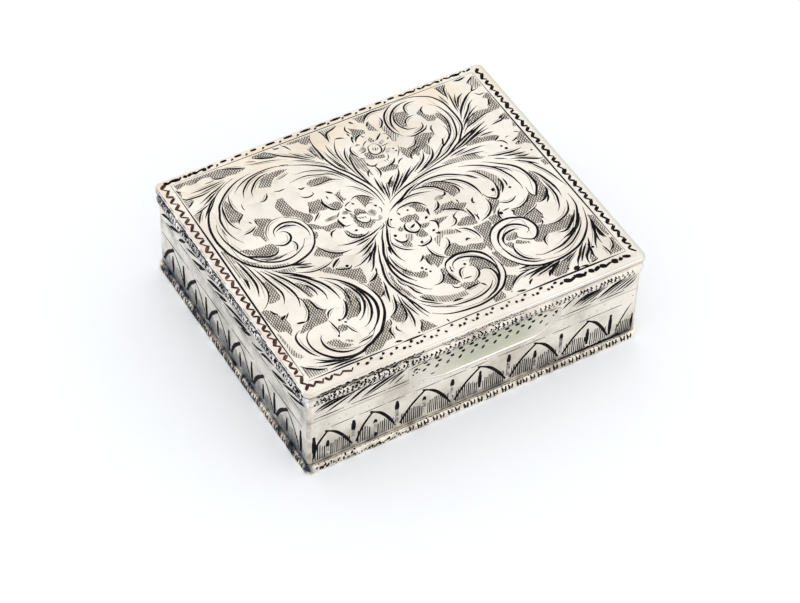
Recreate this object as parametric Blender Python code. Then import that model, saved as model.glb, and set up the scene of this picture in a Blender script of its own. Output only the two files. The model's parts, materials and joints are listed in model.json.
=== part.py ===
"""A small rectangular silver box with a hinged lid, built as a silversmith makes one.

The base is a wall band soldered to a bottom plate and held in a moulded foot. The lid is a wall band
under a flat plate, with a moulded rim and a flared thumbpiece. A nine-knuckle joint with a riveted pin
is let into the back wall, between two grooved bearers, and three strips inside the base locate the lid.

X runs along the long side, Y from the front to the back, Z up. The origin is on the floor, under the
middle of the lid plate. Every length is in metres.
"""

import math

import bmesh
import bpy
from mathutils import Vector

# Overall sizes.
PLATE_LENGTH = 0.0700
PLATE_DEPTH = 0.0590
BASE_HEIGHT = 0.0133
LID_HEIGHT = 0.0083

# Fits: a soldered seam, and the slit between the lid and the base.
SEAM = 0.00005
PARTING_GAP = 0.0001

# Sheet and plan.
PLATE_THICKNESS = 0.0011
PLATE_EDGE_RADIUS = 0.0004
PLATE_OVERHANG = 0.00065
WALL_THICKNESS = 0.0006
WALL_CORNER_RADIUS = 0.00065
LEAST_CORNER_RADIUS = 0.0002
BOTTOM_THICKNESS = 0.0008

# Rim moulding, a cove over a bead, measured out from the lid wall and down from the plate.
RIM_HEIGHT = 0.0027
RIM_COVE_HEIGHT = 0.0010
RIM_TOP_OUT = 0.00055
RIM_WAIST_OUT = 0.00022
RIM_BEAD_OUT = 0.00052

# Foot moulding, a fillet over a round, with a ledge under the bottom plate.
FOOT_HEIGHT = 0.00225
FOOT_FILLET_HEIGHT = 0.0003
FOOT_FILLET_OUT = 0.00025
FOOT_OUT = 0.00065
FOOT_LEDGE_WIDTH = 0.0018
FOOT_LEDGE_THICKNESS = 0.0004

# Thumbpiece, measured out from the front of the lid wall. It sits a little right of the middle.
THUMB_LENGTH = 0.0316
THUMB_OFFSET = 0.0016
THUMB_FLARE = 0.0016
THUMB_FEATHER = 0.00012
THUMB_LIP_HEIGHT = 0.00035
THUMB_TOP_CLEARANCE = 0.0002
THUMB_PLATEAU_SHARE = 0.54
THUMB_END_HEIGHT_SHARE = 0.80
THUMB_COVE_POWER = 2.2

# Closing strips inside the base.
STRIP_THICKNESS = 0.0005
STRIP_DROP = 0.0030
STRIP_RISE = 0.0016
STRIP_CLEARANCE = 0.00015
STRIP_TOP_BEVEL = 0.0002
STRIP_CORNER_GAP = 0.0012
STRIP_BACK_GAP = 0.0004

# Hinge joint.
KNUCKLE_COUNT = 9
HINGE_END_ROOM = 0.0090
HINGE_INSET = 0.00035
KNUCKLE_RADIUS = 0.0010
KNUCKLE_BEVEL = 0.0001
KNUCKLE_GAP = 0.00006
RUNNING_GAP = 0.00005
PIN_RADIUS = 0.0005
RIVET_RADIUS = 0.00078
RIVET_HEIGHT = 0.00022
RIVET_CLEARANCE = 0.00008
NOTCH_END_ROOM = 0.00045
BEARER_END = 0.0010
BEARER_DEPTH = 0.0021
BEARER_HEIGHT = 0.0022
BEARER_SLOPE = 0.0009
STOP_ANGLE = math.radians(106)

# How finely round forms are cut into faces.
CORNER_STEPS = 5
CURVE_STEPS = 6
ROUND_STEPS = 32
THUMB_STEPS = 32
THUMB_COVE_STEPS = 8
SMOOTH_ANGLE = math.radians(32)
MERGE_DISTANCE = 0.000001

# One overrun for every cutter.
OVERRUN = 0.0010

# Places worked out from the sizes above.
PARTING_HEIGHT = BASE_HEIGHT
BOX_HEIGHT = BASE_HEIGHT + LID_HEIGHT
HINGE_LENGTH = PLATE_LENGTH - 2 * HINGE_END_ROOM
BEARER_LENGTH = HINGE_LENGTH + 2 * BEARER_END
WALL_HALF_LENGTH = PLATE_LENGTH / 2 - PLATE_OVERHANG
WALL_HALF_DEPTH = PLATE_DEPTH / 2 - PLATE_OVERHANG
PLATE_UNDERSIDE = BOX_HEIGHT - PLATE_THICKNESS
BOTTOM_UNDERSIDE = FOOT_LEDGE_THICKNESS + SEAM
BASE_WALL_BOTTOM = BOTTOM_UNDERSIDE + BOTTOM_THICKNESS + SEAM
BASE_WALL_TOP = PARTING_HEIGHT - PARTING_GAP / 2
LID_WALL_BOTTOM = PARTING_HEIGHT + PARTING_GAP / 2
LID_WALL_TOP = PLATE_UNDERSIDE - SEAM
RIM_BOTTOM = LID_WALL_TOP - RIM_HEIGHT
AXIS = Vector((0, WALL_HALF_DEPTH - HINGE_INSET, PARTING_HEIGHT))
GROOVE_RADIUS = KNUCKLE_RADIUS + RUNNING_GAP
BORE_RADIUS = PIN_RADIUS + RUNNING_GAP


def silver(name, color, roughness):
    """A Principled metal of this colour and roughness."""
    material = bpy.data.materials.new(name)
    material.use_nodes = True
    shader = material.node_tree.nodes["Principled BSDF"]
    shader.inputs["Base Color"].default_value = (*color, 1)
    shader.inputs["Metallic"].default_value = 1
    shader.inputs["Roughness"].default_value = roughness
    return material


def finish(name, bm, material):
    """Turns a bmesh into one smooth-shaded object."""
    bmesh.ops.recalc_face_normals(bm, faces=bm.faces[:])
    mesh = bpy.data.meshes.new(name)
    bm.to_mesh(mesh)
    bm.free()
    mesh.materials.append(material)
    mesh.shade_smooth()
    mesh.set_sharp_from_angle(angle=SMOOTH_ANGLE)
    part = bpy.data.objects.new(name, mesh)
    bpy.context.scene.collection.objects.link(part)
    return part


def elliptic_arc(centre, radii, start, end, steps):
    """Points on an ellipse's arc, from the start angle to the end angle, in degrees."""
    points = []
    for step in range(steps + 1):
        angle = math.radians(start + (end - start) * step / steps)
        x = centre[0] + radii[0] * math.cos(angle)
        y = centre[1] + radii[1] * math.sin(angle)
        points.append((x, y))
    return points


def box_ring(bm, out, height):
    """A round-cornered rectangle of vertices, this far out from the walls' outer face."""
    radius = max(WALL_CORNER_RADIUS + out, LEAST_CORNER_RADIUS)
    corner_x = WALL_HALF_LENGTH + out - radius
    corner_y = WALL_HALF_DEPTH + out - radius
    points = []
    for quarter, (sx, sy) in enumerate(((1, 1), (-1, 1), (-1, -1), (1, -1))):
        centre = (sx * corner_x, sy * corner_y)
        start = 90 * quarter
        points += elliptic_arc(centre, (radius, radius), start, start + 90, CORNER_STEPS)
    return [bm.verts.new((x, y, height)) for x, y in points]


def skin(bm, rings):
    """Joins each ring of vertices to the next with four-sided faces."""
    for first, second in zip(rings, rings[1:]):
        turned_first = first[1:] + first[:1]
        turned_second = second[1:] + second[:1]
        for corners in zip(first, turned_first, turned_second, second):
            bm.faces.new(corners)


def swept_band(name, profile, material):
    """A closed (out, height) profile carried round the box, such as a wall or a moulding."""
    bm = bmesh.new()
    rings = [box_ring(bm, out, height) for out, height in profile]
    skin(bm, rings + rings[:1])
    return finish(name, bm, material)


def swept_plate(name, profile, material):
    """An open (out, height) edge profile carried round the box, with both ends filled flat."""
    bm = bmesh.new()
    rings = [box_ring(bm, out, height) for out, height in profile]
    skin(bm, rings)
    for ring in (rings[0], rings[-1]):
        bm.faces.new(ring)
    return finish(name, bm, material)


def extruded(name, section, start, along, material):
    """A flat section, as points, extruded from its place by a vector."""
    bm = bmesh.new()
    face = bm.faces.new([bm.verts.new(Vector(point) + Vector(start)) for point in section])
    grown = bmesh.ops.extrude_face_region(bm, geom=[face])["geom"]
    moved = [item for item in grown if isinstance(item, bmesh.types.BMVert)]
    bmesh.ops.translate(bm, verts=moved, vec=along)
    return finish(name, bm, material)


def turned(name, profile, closed, material):
    """A profile of (x, radius) points turned about the hinge line."""
    bm = bmesh.new()
    verts = [bm.verts.new((x, 0, radius)) for x, radius in profile]
    ends = verts[1:] + verts[:1] if closed else verts[1:]
    edges = [bm.edges.new(pair) for pair in zip(verts, ends)]
    bmesh.ops.spin(
        bm,
        geom=verts + edges,
        cent=(0, 0, 0),
        axis=(1, 0, 0),
        angle=math.tau,
        steps=ROUND_STEPS,
        use_merge=True,
    )
    bmesh.ops.remove_doubles(bm, verts=bm.verts[:], dist=MERGE_DISTANCE)
    part = finish(name, bm, material)
    part.location = AXIS
    return part


def cut(part, cutter):
    """Takes the cutter's space out of the part."""
    cutter.hide_render = True
    cutter.display_type = "WIRE"
    modifier = part.modifiers.new(f"cut by {cutter.name}", "BOOLEAN")
    modifier.operation = "DIFFERENCE"
    modifier.object = cutter
    modifier.solver = "EXACT"


def hang(part, pivot):
    """Makes the part turn with the pivot and leaves it where it is."""
    part.parent = pivot
    part.location -= pivot.location


def wall_band(name, bottom, top, material):
    """A wall of sheet round the four sides."""
    profile = [(0, bottom), (0, top), (-WALL_THICKNESS, top), (-WALL_THICKNESS, bottom)]
    return swept_band(name, profile, material)


def hinge_notch(material):
    """The round channel that the knuckles turn in, with room for the rivets at its ends."""
    half = HINGE_LENGTH / 2 + NOTCH_END_ROOM
    profile = [(-half, 0), (-half, GROOVE_RADIUS), (half, GROOVE_RADIUS), (half, 0)]
    return turned("hinge_notch_cutter", profile, False, material)


def stop_bevel(name, side, material):
    """The wedge filed off a back edge, so that the lid swings and then stops on it."""
    reach = HINGE_INSET + OVERRUN
    slope = math.tan(STOP_ANGLE / 2)
    section = [(0, 0, -side * PARTING_GAP), (0, 0, 0), (0, reach, side * reach * slope)]
    section.append((0, reach, -side * PARTING_GAP))
    half = WALL_HALF_LENGTH + OVERRUN
    return extruded(name, section, AXIS + Vector((-half, 0, 0)), (2 * half, 0, 0), material)


def lid_plate(material):
    """The flat top, with its edges rounded over."""
    radius = PLATE_EDGE_RADIUS
    centre = PLATE_OVERHANG - radius
    lower = elliptic_arc((centre, PLATE_UNDERSIDE + radius), (radius, radius), -90, 0, CURVE_STEPS)
    upper = elliptic_arc((centre, BOX_HEIGHT - radius), (radius, radius), 0, 90, CURVE_STEPS)
    return swept_plate("lid_plate", lower + upper, material)


def rim_moulding(material):
    """The strip under the plate's edge: a cove, then a bead that takes the punched pattern."""
    waist = LID_WALL_TOP - RIM_COVE_HEIGHT
    bead_radius = (RIM_HEIGHT - RIM_COVE_HEIGHT) / 2
    cove_radii = (RIM_TOP_OUT - RIM_WAIST_OUT, RIM_COVE_HEIGHT)
    bead_radii = (RIM_BEAD_OUT - RIM_WAIST_OUT, bead_radius)
    profile = [(SEAM, LID_WALL_TOP)]
    profile += elliptic_arc((RIM_TOP_OUT, waist), cove_radii, 90, 180, CURVE_STEPS)
    profile += elliptic_arc((RIM_WAIST_OUT, waist - bead_radius), bead_radii, 90, -90, CURVE_STEPS)[1:]
    profile.append((SEAM, RIM_BOTTOM))
    return swept_band("lid_rim_moulding", profile, material)


def foot_moulding(material):
    """The strip that the box stands on, with the ledge that carries the bottom plate."""
    round_top = FOOT_HEIGHT - FOOT_FILLET_HEIGHT
    round_radii = (FOOT_OUT - FOOT_FILLET_OUT, round_top / 2)
    profile = [(SEAM, FOOT_HEIGHT), (FOOT_FILLET_OUT, FOOT_HEIGHT)]
    profile += elliptic_arc((FOOT_FILLET_OUT, round_top / 2), round_radii, 90, -90, 2 * CURVE_STEPS)
    inner = SEAM - FOOT_LEDGE_WIDTH
    profile += [(inner, 0), (inner, FOOT_LEDGE_THICKNESS), (SEAM, FOOT_LEDGE_THICKNESS)]
    return swept_band("foot_moulding", profile, material)


def bottom_plate(material):
    """The sheet that closes the base, resting on the foot's ledge under the wall."""
    top = BOTTOM_UNDERSIDE + BOTTOM_THICKNESS
    return swept_plate("base_plate", [(0, BOTTOM_UNDERSIDE), (0, top)], material)


def thumb_swell(share):
    """How far the thumbpiece swells, from 0 at its ends to 1 over its middle."""
    away = (abs(share) - THUMB_PLATEAU_SHARE) / (1 - THUMB_PLATEAU_SHARE)
    away = min(max(away, 0), 1)
    return 1 - away * away * (3 - 2 * away)


def thumb_section(share):
    """The thumbpiece's (out, height) section at a share of its half length from the middle."""
    swell = thumb_swell(share)
    full = RIM_BOTTOM - THUMB_TOP_CLEARANCE - LID_WALL_BOTTOM
    height = full * (THUMB_END_HEIGHT_SHARE + (1 - THUMB_END_HEIGHT_SHARE) * math.sqrt(swell))
    lip = SEAM + THUMB_FEATHER + (THUMB_FLARE - THUMB_FEATHER - SEAM) * swell
    top = LID_WALL_BOTTOM + height
    lip_top = LID_WALL_BOTTOM + THUMB_LIP_HEIGHT
    section = [(SEAM, LID_WALL_BOTTOM), (SEAM, top)]
    for step in range(THUMB_COVE_STEPS + 1):
        down = step / THUMB_COVE_STEPS
        out = SEAM + THUMB_FEATHER + (lip - SEAM - THUMB_FEATHER) * down**THUMB_COVE_POWER
        section.append((out, top + (lip_top - top) * down))
    section.append((lip, LID_WALL_BOTTOM + THUMB_LIP_HEIGHT / 2))
    section.append((lip - THUMB_FEATHER / 2, LID_WALL_BOTTOM))
    return section


def thumbpiece(material):
    """The lifting lip on the front: a coved flare whose edge bows out and dies back into the wall."""
    bm = bmesh.new()
    rings = []
    for step in range(THUMB_STEPS + 1):
        share = 2 * step / THUMB_STEPS - 1
        x = THUMB_OFFSET + share * THUMB_LENGTH / 2
        section = thumb_section(share)
        rings.append([bm.verts.new((x, -WALL_HALF_DEPTH - out, z)) for out, z in section])
    skin(bm, rings)
    for ring in (rings[0], rings[-1]):
        bm.faces.new(ring)
    return finish("thumbpiece", bm, material)


def strip_section():
    """A closing strip's (in, height) section, measured in from the walls' inner face."""
    bottom = BASE_WALL_TOP - STRIP_DROP
    top = PARTING_HEIGHT + STRIP_RISE
    back = SEAM + STRIP_THICKNESS
    shoulder = BASE_WALL_TOP - STRIP_CLEARANCE
    return [
        (SEAM, bottom),
        (SEAM, shoulder),
        (STRIP_CLEARANCE, BASE_WALL_TOP),
        (STRIP_CLEARANCE, top - STRIP_TOP_BEVEL),
        (STRIP_CLEARANCE + STRIP_TOP_BEVEL, top),
        (back, top),
        (back, bottom),
    ]


def closing_strips(material):
    """Three strips soldered inside the base, which stand up past the parting line into the lid."""
    inner_x = WALL_HALF_LENGTH - WALL_THICKNESS
    inner_y = WALL_HALF_DEPTH - WALL_THICKNESS
    front_half = inner_x - STRIP_CORNER_GAP
    section = [(0, inwards, z) for inwards, z in strip_section()]
    extruded("closing_strip_front", section, (-front_half, -inner_y, 0), (2 * front_half, 0, 0), material)
    front_y = -inner_y + STRIP_CORNER_GAP
    back_y = AXIS.y - BEARER_DEPTH - STRIP_BACK_GAP
    along = (0, back_y - front_y, 0)
    for name, side in (("left", -1), ("right", 1)):
        section = [(-side * inwards, 0, z) for inwards, z in strip_section()]
        extruded(f"closing_strip_{name}", section, (side * inner_x, front_y, 0), along, material)


def bearer(name, side, material):
    """A grooved bar inside the back wall that carries its own knuckles and clears the others."""
    wall_face = HINGE_INSET - WALL_THICKNESS - SEAM
    edge = PARTING_GAP / 2
    start = 180 + math.degrees(math.asin(edge / GROOVE_RADIUS))
    end = 180 + math.degrees(math.acos(-wall_face / GROOVE_RADIUS))
    groove = elliptic_arc((0, 0), (GROOVE_RADIUS, GROOVE_RADIUS), start, end, 2 * CURVE_STEPS)
    outline = [(-BEARER_DEPTH, -edge)] + groove + [(wall_face, -BEARER_HEIGHT)]
    outline += [(BEARER_SLOPE - BEARER_DEPTH, -BEARER_HEIGHT), (-BEARER_DEPTH, BEARER_SLOPE - BEARER_HEIGHT)]
    section = [(0, y, side * z) for y, z in outline]
    start_point = AXIS + Vector((-BEARER_LENGTH / 2, 0, 0))
    return extruded(name, section, start_point, (BEARER_LENGTH, 0, 0), material)


def knuckles(owner, first, material):
    """One side's tubes: every second one of the joint's tubes, from the first on."""
    pitch = HINGE_LENGTH / KNUCKLE_COUNT
    made = []
    for number in range(first, KNUCKLE_COUNT, 2):
        left = number * pitch - HINGE_LENGTH / 2 + KNUCKLE_GAP / 2
        right = left + pitch - KNUCKLE_GAP
        shoulder = KNUCKLE_RADIUS - KNUCKLE_BEVEL
        profile = [(left, BORE_RADIUS), (left, shoulder), (left + KNUCKLE_BEVEL, KNUCKLE_RADIUS)]
        profile += [(right - KNUCKLE_BEVEL, KNUCKLE_RADIUS), (right, shoulder), (right, BORE_RADIUS)]
        made.append(turned(f"{owner}_knuckle_{len(made) + 1}", profile, True, material))
    return made


def hinge_pin(material):
    """The pin through all the knuckles, with a rivet head raised on each end."""
    head = HINGE_LENGTH / 2 + RIVET_CLEARANCE
    dome = elliptic_arc((head, 0), (RIVET_HEIGHT, RIVET_RADIUS), 90, 0, CURVE_STEPS)
    right_end = [(head, PIN_RADIUS)] + dome
    left_end = [(-x, radius) for x, radius in reversed(right_end)]
    return turned("hinge_pin", left_end + right_end, False, material)


def build():
    """Clears the scene and makes every piece in its place."""
    for old in bpy.data.objects[:]:
        bpy.data.objects.remove(old)
    engraved = silver("engraved_silver", (0.87, 0.84, 0.79), 0.30)
    inner = silver("inner_silver", (0.84, 0.82, 0.78), 0.38)
    joint = silver("joint_silver", (0.80, 0.78, 0.75), 0.34)
    wire = silver("pin_wire", (0.72, 0.71, 0.70), 0.30)

    notch = hinge_notch(joint)
    base_wall = wall_band("base_wall", BASE_WALL_BOTTOM, BASE_WALL_TOP, engraved)
    cut(base_wall, stop_bevel("base_bevel_cutter", -1, engraved))
    cut(base_wall, notch)
    bottom_plate(inner)
    foot_moulding(engraved)
    closing_strips(inner)
    bearer("base_bearer", 1, inner)
    knuckles("base", 0, joint)
    hinge_pin(wire)

    lid_wall = wall_band("lid_wall", LID_WALL_BOTTOM, LID_WALL_TOP, engraved)
    cut(lid_wall, stop_bevel("lid_bevel_cutter", 1, engraved))
    cut(lid_wall, notch)
    lid = [lid_wall, lid_plate(engraved), rim_moulding(engraved), thumbpiece(engraved)]
    lid.append(bearer("lid_bearer", -1, inner))
    lid += knuckles("lid", 1, joint)
    pivot = bpy.data.objects.new("lid_pivot", None)
    pivot.location = AXIS
    bpy.context.scene.collection.objects.link(pivot)
    for part in lid:
        hang(part, pivot)


build()
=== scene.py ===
# %% [markdown]
# # A hand-engraved silver box
# This lesson dresses a small hinged silver box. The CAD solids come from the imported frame, and the
# engraved pieces are worked copies of them. What this script adds is what the silversmith's bench
# adds: scrollwork cut into the lid with a graver, arches cut round the base, a punched rim and
# foot, and silver that has darkened in its cuts.

# %% The frame and the tools
import json
import math
import random

import bmesh
import bpy
from mathutils import Euler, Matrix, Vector
from mathutils.bvhtree import BVHTree
from mathutils.geometry import delaunay_2d_cdt


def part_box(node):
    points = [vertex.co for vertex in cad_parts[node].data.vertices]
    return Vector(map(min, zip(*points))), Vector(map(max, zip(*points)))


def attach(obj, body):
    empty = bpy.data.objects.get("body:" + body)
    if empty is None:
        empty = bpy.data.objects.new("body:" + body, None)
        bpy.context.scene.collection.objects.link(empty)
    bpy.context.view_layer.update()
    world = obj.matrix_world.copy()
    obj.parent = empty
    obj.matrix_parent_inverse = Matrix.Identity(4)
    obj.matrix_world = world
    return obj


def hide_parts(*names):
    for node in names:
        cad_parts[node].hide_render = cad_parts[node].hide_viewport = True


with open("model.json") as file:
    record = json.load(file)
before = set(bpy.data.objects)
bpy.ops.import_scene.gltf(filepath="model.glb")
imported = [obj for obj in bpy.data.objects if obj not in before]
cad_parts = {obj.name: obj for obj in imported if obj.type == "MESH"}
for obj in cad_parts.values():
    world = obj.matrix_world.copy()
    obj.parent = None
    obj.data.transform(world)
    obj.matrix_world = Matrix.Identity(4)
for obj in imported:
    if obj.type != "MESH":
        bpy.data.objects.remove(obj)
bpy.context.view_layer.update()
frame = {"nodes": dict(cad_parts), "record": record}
MM = 0.001

# %% [markdown]
# ## Colours as written
# Blender's usual view transform softens bright colours. Silver on white paper has to keep its
# bright edges, so the plain Standard transform is used, and a colour looks as it is written.

# %% View transform
bpy.context.scene.view_settings.view_transform = "Standard"
print("view transform", bpy.context.scene.view_settings.view_transform)

# %% [markdown]
# ## The camera
# The photograph looks down on the box from its front left corner, with a long lens. The place
# and the turn below come from fitting the eight corners of the box to the photograph, so the
# render can be laid over it.

# %% Camera
CAMERA_PLACE = Vector((-0.18622, -0.30919, 0.38686))
CAMERA_TURN = Euler([math.radians(a) for a in (42.998, -1.246, -29.855)])
LENS = 127.2

eye = bpy.data.cameras.new("eye")
eye.lens = LENS
eye.sensor_width = 36.0
eye.sensor_fit = "HORIZONTAL"
eye.clip_start = 0.01
camera = bpy.data.objects.new("camera", eye)
camera.location = CAMERA_PLACE
camera.rotation_euler = CAMERA_TURN
bpy.context.scene.collection.objects.link(camera)
bpy.context.scene.camera = camera
print("camera at", [round(n / MM) for n in CAMERA_PLACE], "mm")

# %% [markdown]
# ## Node helpers
# A material is a small graph of nodes. These four helpers add a node, join two sockets, make a
# soft mottle from a noise texture and blend two colours, so that a finish reads like a recipe.

# %% Node helpers
def add_node(tree, kind, **inputs):
    node = tree.nodes.new(kind)
    for name, value in inputs.items():
        node.inputs[name.replace("_", " ")].default_value = value
    return node


def join(tree, source, output, target, socket):
    tree.links.new(source.outputs[output], target.inputs[socket])


def mottle(tree, place, scale, low, high, detail=4.0, stretch=(1, 1, 1)):
    """Noise, stretched along the axes, whose values from low to high run from 0 to 1."""
    mapping = add_node(tree, "ShaderNodeMapping", Scale=stretch)
    join(tree, place, "Object", mapping, "Vector")
    noise = add_node(tree, "ShaderNodeTexNoise", Scale=scale, Detail=detail, Roughness=0.6)
    join(tree, mapping, "Vector", noise, "Vector")
    spread = add_node(tree, "ShaderNodeMapRange", From_Min=low, From_Max=high)
    join(tree, noise, "Fac", spread, "Value")
    return spread


def blend_colours(tree, share, first, second):
    mix = tree.nodes.new("ShaderNodeMix")
    mix.data_type = "RGBA"
    for socket, colour in ((6, first), (7, second)):
        if isinstance(colour, tuple):
            mix.inputs[socket].default_value = (*colour, 1.0)
        else:
            tree.links.new(colour.outputs[2], mix.inputs[socket])
    tree.links.new(share.outputs[0], mix.inputs[0])
    return mix


print("node helpers ready")

# %% [markdown]
# ## Floor, backdrop and light
# The box stands on white paper under a white sky, so the silver has white to reflect all round.
# The paper glows a little to the camera and in reflections, which keeps it white, and it still
# takes the box's soft shadow. A wide lamp overhead and another in front stand for the studio's
# soft boxes.

# %% Floor
FLOOR_HALF = 1.5
FLOOR_WHITE = (0.76, 0.785, 0.82)
PAPER_LIFT = 0.24
floor_bm = bmesh.new()
bmesh.ops.create_grid(floor_bm, x_segments=1, y_segments=1, size=FLOOR_HALF)
floor_mesh = bpy.data.meshes.new("paper_floor")
floor_bm.to_mesh(floor_mesh)
floor_bm.free()
paper_floor = bpy.data.objects.new("paper_floor", floor_mesh)
bpy.context.scene.collection.objects.link(paper_floor)

paper = bpy.data.materials.new("white_paper")
paper.use_nodes = True
tree = paper.node_tree
shader = tree.nodes["Principled BSDF"]
shader.inputs["Base Color"].default_value = (*FLOOR_WHITE, 1)
shader.inputs["Roughness"].default_value = 0.9
shader.inputs["Specular IOR Level"].default_value = 0.1
path = tree.nodes.new("ShaderNodeLightPath")
seen = add_node(tree, "ShaderNodeMath")
seen.operation = "MAXIMUM"
join(tree, path, "Is Camera Ray", seen, 0)
join(tree, path, "Is Glossy Ray", seen, 1)
lift = add_node(tree, "ShaderNodeMath")
lift.operation = "MULTIPLY"
lift.inputs[1].default_value = PAPER_LIFT
join(tree, seen, "Value", lift, 0)
shader.inputs["Emission Color"].default_value = (1, 1, 1, 1)
join(tree, lift, "Value", shader, "Emission Strength")
floor_mesh.materials.append(paper)
print("paper floor", 2 * FLOOR_HALF, "m wide")

# %% Backdrop
SKY_LEVEL = 1.0
world = bpy.data.worlds.new("studio")
world.use_nodes = True
bpy.context.scene.world = world
backdrop = world.node_tree.nodes["Background"]
backdrop.inputs["Color"].default_value = (1, 1, 1, 1)
backdrop.inputs["Strength"].default_value = SKY_LEVEL
print("backdrop level", SKY_LEVEL)

# %% Lamps
def soft_box(name, place, aim, size, power):
    lamp = bpy.data.lights.new(name, "AREA")
    lamp.shape = "RECTANGLE"
    lamp.size, lamp.size_y = size
    lamp.energy = power
    holder = bpy.data.objects.new(name, lamp)
    holder.location = place
    holder.rotation_euler = (Vector(aim) - Vector(place)).to_track_quat("-Z", "Y").to_euler()
    bpy.context.scene.collection.objects.link(holder)
    print(name, power, "W")


soft_box("overhead_box", (0.15, 0.45, 0.75), (0, 0, 0), (0.7, 0.5), 0.3)
soft_box("front_box", (0.55, -0.75, 0.45), (0, 0, 0), (0.5, 0.4), 0.4)

# %% [markdown]
# ## Silver, and silver that has darkened
# Old silver is bright where it is rubbed and yellow-brown where it isn't. In a graver's cut the
# polishing cloth never reaches the bottom, so the cut stays nearly black. Every finish here is the
# same recipe: two colours that drift into each other, a gloss broken by wear, fine scratches, and
# stains towards an edge or a corner. Some stains are tarnish or grime, and some are painted shade.

# %% Silver finishes
def stain_or_shade(tree, place, under, colour, axis, start, full, strength, patch=260.0):
    """Lays a blotchy stain or a painted shade over a colour. It grows along an axis from start to full, in
    metres.
    """
    split = tree.nodes.new("ShaderNodeSeparateXYZ")
    join(tree, place, "Object", split, "Vector")
    reach = add_node(tree, "ShaderNodeMapRange", From_Min=start, From_Max=full, To_Max=strength)
    join(tree, split, axis, reach, "Value")
    if not patch:
        return blend_colours(tree, reach, under, colour)
    blotch = mottle(tree, place, patch, 0.4, 0.6, detail=6.0)
    share = tree.nodes.new("ShaderNodeMath")
    share.operation = "MULTIPLY"
    join(tree, reach, "Result", share, 0)
    join(tree, blotch, "Result", share, 1)
    return blend_colours(tree, share, under, colour)


SCRATCHES = 0.06


def silver_finish(name, clean, tarnished_or_shaded, tarnish_or_shade_from, rough, patch=60, stains_and_shades=()):
    """Metal whose colour drifts from clean to tarnished, or to a painted shade, and whose gloss is broken by
    fine wear.
    """
    metal = bpy.data.materials.new(name)
    metal.use_nodes = True
    tree = metal.node_tree
    shader = tree.nodes["Principled BSDF"]
    shader.inputs["Metallic"].default_value = 1.0
    place = tree.nodes.new("ShaderNodeTexCoord")
    patches = mottle(tree, place, patch, tarnish_or_shade_from, tarnish_or_shade_from + 0.3)
    colour = blend_colours(tree, patches, clean, tarnished_or_shaded)
    for stain in stains_and_shades:
        colour = stain_or_shade(tree, place, colour, *stain)
    tree.links.new(colour.outputs[2], shader.inputs["Base Color"])
    wear = mottle(tree, place, 900.0, 0.3, 0.7, detail=6.0)
    gloss = add_node(tree, "ShaderNodeMapRange", To_Min=rough[0], To_Max=rough[1])
    join(tree, wear, "Result", gloss, "Value")
    join(tree, gloss, "Result", shader, "Roughness")
    scuffs = mottle(tree, place, 700.0, 0.35, 0.65, detail=5.0, stretch=(1.0, 6.0, 6.0))
    relief = add_node(tree, "ShaderNodeBump", Strength=SCRATCHES, Distance=0.0004)
    join(tree, scuffs, "Result", relief, "Height")
    join(tree, relief, "Normal", shader, "Normal")
    return metal


print("strength of the fine scratches", SCRATCHES)

# %% Stains and painted shade
YELLOWED, PINKISH, GREEN_GREY = (0.80, 0.64, 0.40), (0.76, 0.59, 0.50), (0.62, 0.61, 0.52)
BLUE_BLACK, GREY_BELOW, THUMB_END = (0.035, 0.04, 0.06), (0.22, 0.20, 0.185), (0.74, 0.69, 0.61)
BLUE_SHADE, DEEP_BLUE_SHADE = (0.15, 0.20, 0.26), (0.015, 0.045, 0.085)
ON_TOP = ((PINKISH, "X", -0.0328, -0.0336, 0.6), (GREEN_GREY, "X", 0.0338, 0.0349, 0.9, None),
          (YELLOWED, "Y", 0.014, 0.029, 0.5, 90.0))
# The walls grow greyer towards the bottom, with blue-black blotches just above the foot.
ON_WALL = ((GREY_BELOW, "Z", 0.0080, 0.0022, 0.9), (BLUE_BLACK, "Z", 0.0036, 0.0024, 0.8, 130.0))
# On the left wall the silver grows bluer and darker towards the bottom: painted shade.
ON_SHADED_LEFT_WALL = ((BLUE_SHADE, "Z", 0.0068, 0.0016, 0.65, None), (DEEP_BLUE_SHADE, "Z", 0.0064, 0.0024, 1.0))
ON_THUMB = ((THUMB_END, "X", -0.003, -0.011, 1.0, None), (THUMB_END, "X", 0.008, 0.014, 1.0, None))
# Blue-black blotches towards the left end of the rim and of the foot, and towards the right on the rushes'
# worn feet.
ON_RIM = ((BLUE_BLACK, "X", -0.010, -0.020, 0.25, 480.0),)
ON_FOOT = ((BLUE_BLACK, "X", -0.0332, -0.0343, 1.0, 500.0),)
ON_RUSHES = ((BLUE_BLACK, "X", -0.004, 0.006, 0.85, 1500.0),)
print("stain tones ready")
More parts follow.
